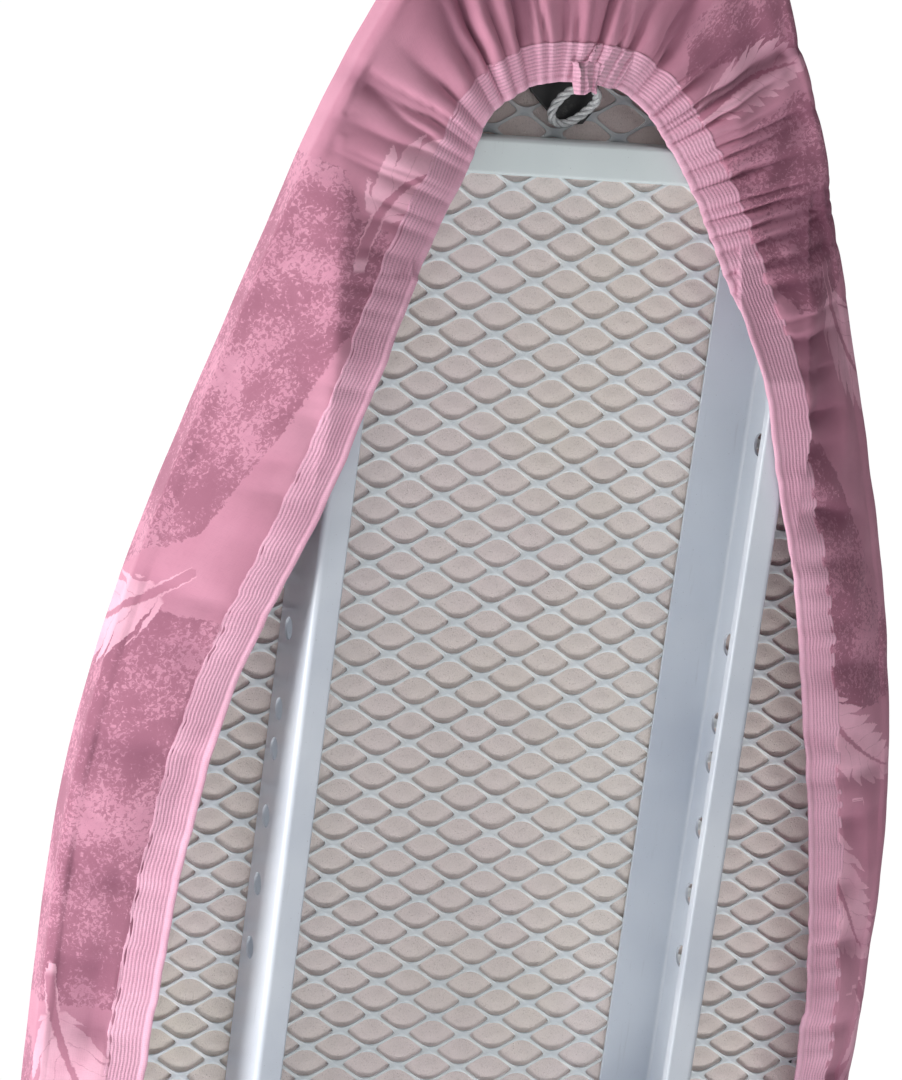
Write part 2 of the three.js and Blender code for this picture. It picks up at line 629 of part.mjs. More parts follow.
// Hollow cross tube: the lock pins slide in its ends, their grips hang through two slots.
function carriageTube() {
  const slot = (side) => block(CARRIAGE_X - 2.4, CARRIAGE_X + 2.4, side * 19, side * 31.5,
    PIVOT_Z - 9, PIVOT_Z - 1);
  putSolid('carriage_tube', cut(
    crossSolid(CARRIAGE_X, PIVOT_Z, -CARRIAGE_HALF, CARRIAGE_HALF, CARRIAGE_R, 16),
    crossBore(CARRIAGE_X, PIVOT_Z, -CARRIAGE_HALF - 1, CARRIAGE_HALF + 1, CARRIAGE_BORE_R, 14),
    slot(1), slot(-1)), 'zinc');
}
carriageTube();

const SHOE_HALF = 15;            // half length along the rail
const SHOE_IN = 64.6;
const SHOE_OUT = 82.1;
const SHOE_BEVEL = 3.5;
const SHOE_GAP = 0.4;            // above and below, to the flanges

// Nylon shoe running in the channel: bored for the tube, with a smaller bore for the pin.
function sliderShoe(name, side) {
  const topZ = FRAME_TOP_Z - RAIL_T - SHOE_GAP;
  const lipZ = RAIL_BOTTOM_Z + RAIL_LIP + 0.5;
  const footZ = RAIL_BOTTOM_Z + RAIL_T + SHOE_GAP;
  const x0 = CARRIAGE_X - SHOE_HALF;
  const x1 = CARRIAGE_X + SHOE_HALF;
  let shoe = cut(
    join(block(x0, x1, SHOE_IN, SHOE_OUT, lipZ, topZ), block(x0, x1, 75.6, 81.2, footZ, lipZ + 1)),
    crossBore(CARRIAGE_X, PIVOT_Z, 60, CARRIAGE_HALF + 0.4, CARRIAGE_R + CARRIAGE_FIT, 16),
    crossBore(CARRIAGE_X, PIVOT_Z, 70, 90, PIN_R + 0.35, 14));
  // end edges bevelled to run past paint drips and weld spatter
  const over = 0.1;
  for (const end of [1, -1]) {
    const endX = CARRIAGE_X + end * (SHOE_HALF + over);
    const bevelX = CARRIAGE_X + end * (SHOE_HALF - SHOE_BEVEL);
    for (const [z, up] of [[topZ, 1], [footZ, -1]]) {
      shoe = cut(shoe, extrudeY([
        [endX, z + up * over], [bevelX, z + up * over], [endX, z - up * SHOE_BEVEL]], 60, 90));
    }
  }
  putSolid(name, mirrorTo(side, shoe), 'nylon');
}
for (const [label, side] of SIDES) {
  sliderShoe(`slider_shoe_${label}`, side);
  spacer(`carriage_spacer_${label}`, CARRIAGE_X, PIVOT_Z,
    side * (OUTER_LEG_Y + TONGUE_GAP), side * (SHOE_IN - SIDE_PLAY),
    LARGE_SPACER_R, CARRIAGE_R + CARRIAGE_FIT, 16);
}

// Lock pin with its finger grip: a rod with a narrow neck and a wide, rounded paddle.
const PIN_IN = 16;
const PIN_OUT = 82;
const GRIP_IN = 19.8;
const GRIP_OUT = 22.8;
const NECK_HALF_W = 1.8;
// Outline of the paddle: x from the pin axis, z from the pin axis.
const PADDLE_OUTLINE = [
  [-8.5, -24.5], [-5, -28.7], [0, -29.5], [5, -28.7], [8.5, -24.5],
  [8.5, -9.5], [7, -8], [-7, -8], [-8.5, -9.5]];
for (const [label, side] of SIDES) {
  const gripIn = side * GRIP_IN;
  const gripOut = side * GRIP_OUT;
  putSolid(`lock_pin_${label}`, join(
    crossSolid(CARRIAGE_X, PIVOT_Z, side * PIN_IN, side * PIN_OUT, PIN_R, 12),
    block(CARRIAGE_X - NECK_HALF_W, CARRIAGE_X + NECK_HALF_W, gripIn, gripOut,
      PIVOT_Z - 12, PIVOT_Z - 1.5),
    extrudeY(PADDLE_OUTLINE.map(([x, z]) => [CARRIAGE_X + x, PIVOT_Z + z]), gripIn, gripOut),
  ), 'zinc');
}

// Compression spring between the pins, inside the tube.
const SPRING_COIL_R = 2.6;
const SPRING_WIRE_R = 0.5;
const SPRING_HALF = 14.6;
const SPRING_TURNS = 6;
class Helix extends THREE.Curve {
  getPoint(t, target = vec(0, 0, 0)) {
    const angle = t * SPRING_TURNS * 2 * Math.PI;
    return target.set(
      CARRIAGE_X + SPRING_COIL_R * Math.cos(angle),
      SPRING_HALF * (2 * t - 1),
      PIVOT_Z + SPRING_COIL_R * Math.sin(angle));
  }
}
put('lock_spring', wire(SPRING_WIRE_R, 5, 54, new Helix()), 'zinc');

export default board;
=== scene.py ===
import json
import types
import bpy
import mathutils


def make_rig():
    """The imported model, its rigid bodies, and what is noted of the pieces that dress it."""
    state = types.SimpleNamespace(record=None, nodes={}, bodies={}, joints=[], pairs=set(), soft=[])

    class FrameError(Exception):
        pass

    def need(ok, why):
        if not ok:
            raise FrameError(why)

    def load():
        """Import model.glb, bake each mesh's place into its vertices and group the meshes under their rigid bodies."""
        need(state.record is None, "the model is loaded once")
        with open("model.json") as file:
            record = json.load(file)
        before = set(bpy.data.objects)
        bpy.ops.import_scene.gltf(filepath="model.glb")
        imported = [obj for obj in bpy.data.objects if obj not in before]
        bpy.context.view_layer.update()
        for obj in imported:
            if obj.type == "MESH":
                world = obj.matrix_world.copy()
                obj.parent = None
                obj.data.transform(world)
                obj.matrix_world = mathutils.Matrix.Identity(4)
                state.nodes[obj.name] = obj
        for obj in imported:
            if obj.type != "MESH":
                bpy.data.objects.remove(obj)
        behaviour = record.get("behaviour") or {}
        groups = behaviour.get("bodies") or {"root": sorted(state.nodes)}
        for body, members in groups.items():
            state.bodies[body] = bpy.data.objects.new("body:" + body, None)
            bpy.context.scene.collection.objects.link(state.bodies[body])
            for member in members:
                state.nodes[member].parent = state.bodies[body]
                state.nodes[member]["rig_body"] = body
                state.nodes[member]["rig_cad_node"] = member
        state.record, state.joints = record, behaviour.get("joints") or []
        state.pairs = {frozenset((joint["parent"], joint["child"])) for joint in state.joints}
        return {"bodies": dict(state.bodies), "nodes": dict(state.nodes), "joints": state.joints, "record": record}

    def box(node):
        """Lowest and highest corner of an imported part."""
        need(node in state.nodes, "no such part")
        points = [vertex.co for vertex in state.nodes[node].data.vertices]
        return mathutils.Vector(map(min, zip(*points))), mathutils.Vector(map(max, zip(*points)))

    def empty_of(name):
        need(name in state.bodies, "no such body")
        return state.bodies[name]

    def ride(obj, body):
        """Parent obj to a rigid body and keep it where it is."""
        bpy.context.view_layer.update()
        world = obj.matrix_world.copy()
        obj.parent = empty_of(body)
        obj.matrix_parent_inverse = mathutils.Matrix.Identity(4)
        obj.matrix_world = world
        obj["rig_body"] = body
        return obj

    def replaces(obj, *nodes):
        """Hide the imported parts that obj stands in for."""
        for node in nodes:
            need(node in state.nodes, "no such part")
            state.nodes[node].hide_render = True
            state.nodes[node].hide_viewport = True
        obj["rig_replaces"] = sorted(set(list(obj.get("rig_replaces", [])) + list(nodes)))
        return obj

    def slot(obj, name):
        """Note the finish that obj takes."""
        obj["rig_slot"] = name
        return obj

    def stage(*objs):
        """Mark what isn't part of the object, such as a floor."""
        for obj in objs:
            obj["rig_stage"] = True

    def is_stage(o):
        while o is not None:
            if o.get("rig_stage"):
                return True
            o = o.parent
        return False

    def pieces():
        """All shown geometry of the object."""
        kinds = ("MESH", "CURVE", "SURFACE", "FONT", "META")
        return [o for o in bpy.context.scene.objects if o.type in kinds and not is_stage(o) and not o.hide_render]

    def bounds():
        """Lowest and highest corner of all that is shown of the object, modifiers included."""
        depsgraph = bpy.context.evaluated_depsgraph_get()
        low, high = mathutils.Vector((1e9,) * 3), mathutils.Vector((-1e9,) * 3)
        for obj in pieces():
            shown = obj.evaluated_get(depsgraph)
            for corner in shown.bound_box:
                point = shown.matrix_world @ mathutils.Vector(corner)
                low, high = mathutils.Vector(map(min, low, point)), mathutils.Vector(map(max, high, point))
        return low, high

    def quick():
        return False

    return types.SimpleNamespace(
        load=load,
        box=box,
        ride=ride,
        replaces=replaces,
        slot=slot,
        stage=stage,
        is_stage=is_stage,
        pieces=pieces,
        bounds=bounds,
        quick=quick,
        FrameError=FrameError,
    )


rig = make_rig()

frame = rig.load()

import json
import math
import bpy
import numpy as np
from mathutils import Matrix, Vector

CAD_BOX = [[float(c) for c in p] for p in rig.bounds()]
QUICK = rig.quick()
RNG = np.random.RandomState(11)
MM = 0.001
TAU = 2 * math.pi


# ------------------------------------------------------------------ places, all from the frame, in mm
def lo(n):
    return np.array(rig.box(n)[0]) * 1000


def hi(n):
    return np.array(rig.box(n)[1]) * 1000


ZM = float(lo("mesh_top")[2])                 # underside of the mesh
XN = float(hi("cover")[0])                    # nose tip
ZTOP = float(hi("cover")[2])                  # top of the cover
HW = float(hi("cover")[1])                    # half width over the cover
LEN = XN - float(lo("cover")[0])
JOINT = {j["name"]: j for j in frame["joints"]}
TAILP = np.array(JOINT["leg_fold"]["pos_m"]) * 1000
CROSSP = np.array(JOINT["leg_scissor"]["pos_m"]) * 1000
CARRP = np.array(JOINT["carriage_pivot"]["pos_m"]) * 1000
PZ = float(TAILP[2])


def X(s):
    return XN - s


# ------------------------------------------------------------------ small maths
def vnoise(x, y, seed=0):
    """Smooth value noise, 0..1, on a unit lattice."""
    x, y = np.broadcast_arrays(np.asarray(x, float), np.asarray(y, float))
    xi, yi = np.floor(x).astype(np.int64), np.floor(y).astype(np.int64)
    u, v = x - xi, y - yi
    u, v = u * u * u * (u * (u * 6 - 15) + 10), v * v * v * (v * (v * 6 - 15) + 10)

    def h(a, b):
        n = (a * 374761393 + b * 668265263 + seed * 974634777) & 0x7FFFFFFF
        n = ((n ^ (n >> 13)) * 1274126177) & 0x7FFFFFFF
        n = ((n ^ (n >> 15)) * 1103515245) & 0x7FFFFFFF
        return ((n >> 8) & 0xFFFF) / 65535.0

    a = h(xi, yi) * (1 - u) + h(xi + 1, yi) * u
    b = h(xi, yi + 1) * (1 - u) + h(xi + 1, yi + 1) * u
    return a * (1 - v) + b * v


def smooth(t):
    t = np.clip(t, 0, 1)
    return t * t * (3 - 2 * t)


def step(a, b, x):
    return smooth((np.asarray(x, float) - a) / (b - a))


def catmull(P, per=8, closed=False):
    P = np.asarray(P, float)
    n = len(P)
    Q = np.vstack([P[-1:], P, P[:2]]) if closed else np.vstack([2 * P[0] - P[1], P, 2 * P[-1] - P[-2]])
    out = []
    for i in range(n if closed else n - 1):
        p0, p1, p2, p3 = Q[i], Q[i + 1], Q[i + 2], Q[i + 3]
        for t in np.arange(per) / per:
            out.append(0.5 * ((2 * p1) + (p2 - p0) * t + (2 * p0 - 5 * p1 + 4 * p2 - p3) * t * t
                              + (3 * p1 - p0 - 3 * p2 + p3) * t ** 3))
    if not closed:
        out.append(P[-1])
    return np.array(out)


# ------------------------------------------------------------------ mesh helpers
def make(name, V, F, mat, flat=False, sharp=None, attrs=None, slot=None):
    """A mesh object from points in mm and faces."""
    me = bpy.data.meshes.new(name)
    V = np.asarray(V, float) * MM
    if isinstance(F, np.ndarray) and F.ndim == 2:
        k = F.shape[1]
        me.vertices.add(len(V))
        me.vertices.foreach_set("co", V.astype(np.float32).ravel())
        me.loops.add(F.size)
        me.loops.foreach_set("vertex_index", F.astype(np.int32).ravel())
        me.polygons.add(len(F))
        me.polygons.foreach_set("loop_start", np.arange(0, F.size, k, dtype=np.int32))
        me.polygons.foreach_set("loop_total", np.full(len(F), k, np.int32))
        me.update(calc_edges=True)
    else:
        me.from_pydata([tuple(v) for v in V], [], [tuple(int(i) for i in f) for f in F])
    for an, (typ, data) in (attrs or {}).items():
        a = me.attributes.new(an, typ, "POINT")
        a.data.foreach_set("vector" if typ == "FLOAT_VECTOR" else "value", np.asarray(data, np.float32).ravel())
    me.validate()
    me.polygons.foreach_set("use_smooth", np.full(len(me.polygons), not flat))
    if sharp:
        me.set_sharp_from_angle(angle=math.radians(sharp))
    ob = bpy.data.objects.new(name, me)
    bpy.context.scene.collection.objects.link(ob)
    if mat:
        me.materials.append(mat)
    if slot:
        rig.slot(ob, slot)
    return ob


def apply_mods(ob):
    dg = bpy.context.evaluated_depsgraph_get()
    dg.update()
    me = bpy.data.meshes.new_from_object(ob.evaluated_get(dg), depsgraph=dg)
    old = ob.data
    ob.modifiers.clear()
    ob.data = me
    me.name = ob.name
    bpy.data.meshes.remove(old)
    return ob


def fix_normals(ob):
    import bmesh
    bm = bmesh.new()
    bm.from_mesh(ob.data)
    bmesh.ops.recalc_face_normals(bm, faces=bm.faces)
    bm.to_mesh(ob.data)
    bm.free()
    return ob


def weld(ob, dist=1e-6):
    import bmesh
    bm = bmesh.new()
    bm.from_mesh(ob.data)
    bmesh.ops.remove_doubles(bm, verts=bm.verts, dist=dist)
    bmesh.ops.dissolve_degenerate(bm, edges=bm.edges, dist=1e-7)
    bmesh.ops.recalc_face_normals(bm, faces=bm.faces)
    bm.to_mesh(ob.data)
    bm.free()
    return ob


def grid_faces(R, C, closed_c=False, closed_r=False, off=0):
    r = np.arange(R if closed_r else R - 1)
    c = np.arange(C if closed_c else C - 1)
    rr, cc = np.meshgrid(r, c, indexing="ij")
    r2, c2 = (rr + 1) % R, (cc + 1) % C
    return np.stack([rr * C + cc, rr * C + c2, r2 * C + c2, r2 * C + cc], -1).reshape(-1, 4) + off


def loft(name, rings, mat, cap=True, closed=False, sharp=35, slot=None, attrs=None):
    """Rings (R, C, 3) joined one to the next; both ends closed with a face."""
    rings = np.asarray(rings, float)
    R, C = rings.shape[:2]
    F = [tuple(f) for f in grid_faces(R, C, True, closed)]
    if cap and not closed:
        F.append(tuple(range(C))[::-1])
        F.append(tuple(range((R - 1) * C, R * C)))
    ob = make(name, rings.reshape(-1, 3), F, mat, sharp=sharp, slot=slot, attrs=attrs)
    return fix_normals(ob)


def turned(name, profile, x, z, mat, n=48, sharp=35, slot=None, closed=False, axis="y"):
    """A solid turned about a line along Y through (x, z): profile is rows of (y, radius)."""
    P = np.array(profile, float)
    a = np.arange(n) / n * TAU
    rings = np.stack([
        x + P[:, 1:2] * np.cos(a)[None], np.repeat(P[:, 0:1], n, 1), z + P[:, 1:2] * np.sin(a)[None]], -1)
    return loft(name, rings, mat, cap=not closed, closed=closed, sharp=sharp, slot=slot)


def tube_path(name, path, rad, mat, n=16, closed=False, slot=None, sharp=40):
    """A round section carried along a path without twist. rad may vary along it."""
    P = np.asarray(path, float)
    T = np.gradient(P, axis=0) if not closed else np.roll(P, -1, 0) - np.roll(P, 1, 0)
    T /= np.linalg.norm(T, axis=1)[:, None]
    up = np.array([0, 0, 1.0]) if abs(T[0, 2]) < 0.9 else np.array([1.0, 0, 0])
    Nn = [np.cross(T[0], up)]
    Nn[0] /= np.linalg.norm(Nn[0])
    for i in range(1, len(P)):
        v = Nn[-1] - T[i] * (Nn[-1] @ T[i])
        Nn.append(v / np.linalg.norm(v))
    Nn = np.array(Nn)
    B = np.cross(T, Nn)
    a = np.arange(n) / n * TAU
    rad = np.broadcast_to(np.asarray(rad, float), (len(P),)) if np.ndim(rad) < 2 else np.asarray(rad)
    rr = rad[:, None] if rad.ndim == 1 else rad
    rings = P[:, None] + (Nn[:, None] * np.cos(a)[None, :, None] + B[:, None] * np.sin(a)[None, :, None]) * rr[..., None]
    return loft(name, rings, mat, cap=not closed, closed=closed, slot=slot, sharp=sharp)


def join(name, obs):
    """Several closed shells as one piece."""
    import bmesh
    bm = bmesh.new()
    for o in obs:
        bm.from_mesh(o.data)
    me = bpy.data.meshes.new(name)
    bm.to_mesh(me)
    bm.free()
    for m in obs[0].data.materials:
        me.materials.append(m)
    sl = obs[0].get("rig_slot")
    for o in obs:
        d = o.data
        bpy.data.objects.remove(o)
        bpy.data.meshes.remove(d)
    ob = bpy.data.objects.new(name, me)
    bpy.context.scene.collection.objects.link(ob)
    if sl:
        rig.slot(ob, sl)
    return ob


def bevel(ob, w, seg=3, ang=30):
    m = ob.modifiers.new("b", "BEVEL")
    m.width, m.segments, m.limit_method, m.angle_limit = w * MM, seg, "ANGLE", math.radians(ang)
    m.harden_normals = False
    return apply_mods(ob)


def cut(ob, *tools):
    for t in tools:
        m = ob.modifiers.new("c", "BOOLEAN")
        m.operation, m.solver, m.object = "DIFFERENCE", "EXACT", t
    apply_mods(ob)
    for t in tools:
        d = t.data
        bpy.data.objects.remove(t)
        bpy.data.meshes.remove(d)
    return ob


def weighted(ob, ang=35):
    ob.data.polygons.foreach_set("use_smooth", np.full(len(ob.data.polygons), True))
    ob.data.set_sharp_from_angle(angle=math.radians(ang))
    m = ob.modifiers.new("wn", "WEIGHTED_NORMAL")
    m.mode, m.weight, m.keep_sharp = "FACE_AREA", 60, True
    return ob


def block(name, x0, x1, y0, y1, z0, z1, mat=None, slot=None):
    V = [(x, y, z) for x in (x0, x1) for y in (y0, y1) for z in (z0, z1)]
    F = [(0, 1, 3, 2), (4, 6, 7, 5), (0, 4, 5, 1), (2, 3, 7, 6), (0, 2, 6, 4), (1, 5, 7, 3)]
    return make(name, V, F, mat, flat=True, slot=slot)


# ------------------------------------------------------------------ node materials
def lin(r, g, b):
    return tuple((c / 255 / 12.92 if c / 255 <= 0.04045 else ((c / 255 + 0.055) / 1.055) ** 2.4) for c in (r, g, b)) + (1.0,)


class G:
    def __init__(self, name):
        self.m = bpy.data.materials.new(name)
        self.m.use_nodes = True
        self.t = self.m.node_tree
        self.t.nodes.clear()
        self.out = self.t.nodes.new("ShaderNodeOutputMaterial")

    def node(self, kind, **kw):
        n = self.t.nodes.new(kind)
        for k, v in kw.items():
            setattr(n, k, v)
        return n

    def put(self, sock, v):
        if hasattr(v, "is_output") or isinstance(v, bpy.types.NodeSocket):
            self.t.links.new(v, sock)
        elif v is not None:
            sock.default_value = v

    def math(self, op, a, b=None, c=None, clamp=False):
        n = self.node("ShaderNodeMath", operation=op, use_clamp=clamp)
        for i, v in enumerate((a, b, c)):
            if v is not None:
                self.put(n.inputs[i], v)
        return n.outputs[0]

    def vmath(self, op, a, b=None, scale=None):
        n = self.node("ShaderNodeVectorMath", operation=op)
        self.put(n.inputs[0], a)
        if b is not None:
            self.put(n.inputs[1], b)
        if scale is not None:
            self.put(n.inputs["Scale"], scale)
        return n.outputs[0]

    def attr(self, name, out="Fac"):
        return self.node("ShaderNodeAttribute", attribute_name=name).outputs[out]

    def coord(self, k="Object"):
        return self.node("ShaderNodeTexCoord").outputs[k]

    def noise(self, vec, scale, detail=3.0, rough=0.5, dist=0.0, w=None):
        n = self.node("ShaderNodeTexNoise")
        if w is not None:
            n.noise_dimensions = "4D"
            self.put(n.inputs["W"], w)
        self.put(n.inputs["Vector"], vec)
        for k, v in (("Scale", scale), ("Detail", detail), ("Roughness", rough), ("Distortion", dist)):
            self.put(n.inputs[k], v)
        return n.outputs["Fac"]

    def voronoi(self, vec, scale, feature="F1", out="Distance"):
        n = self.node("ShaderNodeTexVoronoi", feature=feature)
        self.put(n.inputs["Vector"], vec)
        self.put(n.inputs["Scale"], scale)
        return n.outputs[out]

    def wave(self, vec, scale, dist=0.0, direction="X", detail=1.0, dscale=1.0):
        n = self.node("ShaderNodeTexWave", wave_type="BANDS", bands_direction=direction)
        self.put(n.inputs["Vector"], vec)
        for k, v in (("Scale", scale), ("Distortion", dist), ("Detail", detail), ("Detail Scale", dscale)):
            self.put(n.inputs[k], v)
        return n.outputs["Fac"]

    def range(self, v, a, b, c=0.0, d=1.0, kind="SMOOTHSTEP"):
        n = self.node("ShaderNodeMapRange", interpolation_type=kind, clamp=True)
        for i, x in enumerate((v, a, b, c, d)):
            self.put(n.inputs[i], x)
        return n.outputs[0]

    def mix(self, f, a, b, blend="MIX"):
        n = self.node("ShaderNodeMix", data_type="RGBA", blend_type=blend, clamp_factor=True)
        self.put(n.inputs[0], f)
        self.put(n.inputs[6], a)
        self.put(n.inputs[7], b)
        return n.outputs[2]

    def fmix(self, f, a, b):
        n = self.node("ShaderNodeMix", data_type="FLOAT", clamp_factor=True)
        self.put(n.inputs[0], f)
        self.put(n.inputs[2], a)
        self.put(n.inputs[3], b)
        return n.outputs[0]

    def bump(self, h, strength, dist, normal=None):
        n = self.node("ShaderNodeBump")
        self.put(n.inputs["Strength"], strength)
        self.put(n.inputs["Distance"], dist)
        self.put(n.inputs["Height"], h)
        if normal is not None:
            self.put(n.inputs["Normal"], normal)
        return n.outputs[0]

    def edge(self, radius=0.6):
        """0 on flats, rising at worn corners."""
        b = self.node("ShaderNodeBevel", samples=4)
        b.inputs["Radius"].default_value = radius * MM
        g = self.node("ShaderNodeNewGeometry")
        d = self.node("ShaderNodeVectorMath", operation="DOT_PRODUCT")
        self.put(d.inputs[0], b.outputs[0])
        self.put(d.inputs[1], g.outputs["Normal"])
        return self.range(d.outputs["Value"], 0.995, 0.86)

    def bsdf(self, color, rough, normal=None, metal=0.0, **kw):
        p = self.node("ShaderNodeBsdfPrincipled")
        self.put(p.inputs["Base Color"], color)
        self.put(p.inputs["Roughness"], rough)
        self.put(p.inputs["Metallic"], metal)
        if normal is not None:
            self.put(p.inputs["Normal"], normal)
        for k, v in kw.items():
            self.put(p.inputs[k.replace("_", " ")], v)
        self.t.links.new(p.outputs[0], self.out.inputs["Surface"])
        return p


def mat_paint(name="white_powder_coat", tint=(226, 231, 238), grey=(205, 213, 222), rough=0.30):
    g = G(name)
    o = g.coord()
    big = g.noise(o, 14, 3, 0.55)
    fine = g.noise(o, 900, 2, 0.6)
    peel = g.noise(o, 420, 2, 0.5)
    col = g.mix(g.range(big, 0.35, 0.7), lin(*tint), lin(*grey))
    specks = g.range(g.noise(o, 1600, 1, 0.4), 0.74, 0.80)
    col = g.mix(g.math("MULTIPLY", specks, 0.35), col, lin(150, 152, 156))
    scuff = g.math("MULTIPLY", g.range(g.noise(g.vmath("MULTIPLY", o, (1, 14, 9)), 30, 4, 0.7), 0.62, 0.78), 0.20)
    col = g.mix(scuff, col, lin(168, 170, 174))
    r = g.math("ADD", rough, g.math("MULTIPLY", big, 0.14))
    r = g.math("ADD", r, g.math("MULTIPLY", scuff, 0.5))
    nrm = g.bump(peel, 0.10, 0.00025)
    nrm = g.bump(fine, 0.05, 0.0001, nrm)
    g.bsdf(col, r, nrm, Coat_Weight=0.18, Coat_Roughness=0.12)
    return g.m


def mat_mesh():
    g = G("mesh_enamel")
    o = g.coord()
    knuckle_shade = g.attr("knuckle")
    big = g.noise(o, 22, 3, 0.6)
    col = g.mix(g.range(big, 0.3, 0.7), lin(238, 242, 243), lin(224, 231, 234))
    # painted shade: the flat knuckles where the strands meet are tinted blue-grey, the shade they show facing away from
    # the lights
    col = g.mix(g.math("MULTIPLY", g.range(knuckle_shade, 0.35, 1.0), 0.5), col, lin(206, 217, 224))
    drip = g.range(g.noise(o, 620, 3, 0.65), 0.62, 0.72)
    col = g.mix(g.math("MULTIPLY", drip, 0.25), col, lin(158, 170, 178))
    r = g.math("ADD", 0.32, g.math("MULTIPLY", big, 0.2))
    nrm = g.bump(g.noise(o, 700, 3, 0.6), 0.22, 0.0004)
    g.bsdf(col, r, nrm, Coat_Weight=0.15, Coat_Roughness=0.2)
    return g.m


def mat_pad():
    g = G("foam_felt")
    o = g.coord()
    big = g.noise(o, 9, 3, 0.55, w=2.0)
    mid = g.noise(o, 46, 4, 0.6)
    tint = g.noise(o, 5.5, 2, 0.5, w=7.3)
    col = g.mix(g.range(big, 0.36, 0.62), lin(250, 239, 231), lin(252, 238, 236))
    col = g.mix(g.math("MULTIPLY", g.range(tint, 0.57, 0.68), 0.5), col, lin(238, 234, 214))
    col = g.mix(g.math("MULTIPLY", g.range(mid, 0.52, 0.72), 0.3), col, lin(226, 214, 210))
    fibre = g.noise(g.vmath("MULTIPLY", o, (1, 2.4, 1)), 1500, 4, 0.7)
    col = g.mix(g.math("MULTIPLY", g.range(fibre, 0.45, 0.75), 0.22), col, lin(140, 128, 124))
    pits = g.range(g.voronoi(o, 900), 0.32, 0.05)
    col = g.mix(g.math("MULTIPLY", pits, 0.12), col, lin(120, 105, 102))
    h = g.math("ADD", fibre, g.math("MULTIPLY", pits, -0.6))
    nrm = g.bump(h, 0.5, 0.0006)
    g.bsdf(col, 0.95, nrm, Sheen_Weight=0.25, Sheen_Roughness=0.6)
    return g.m


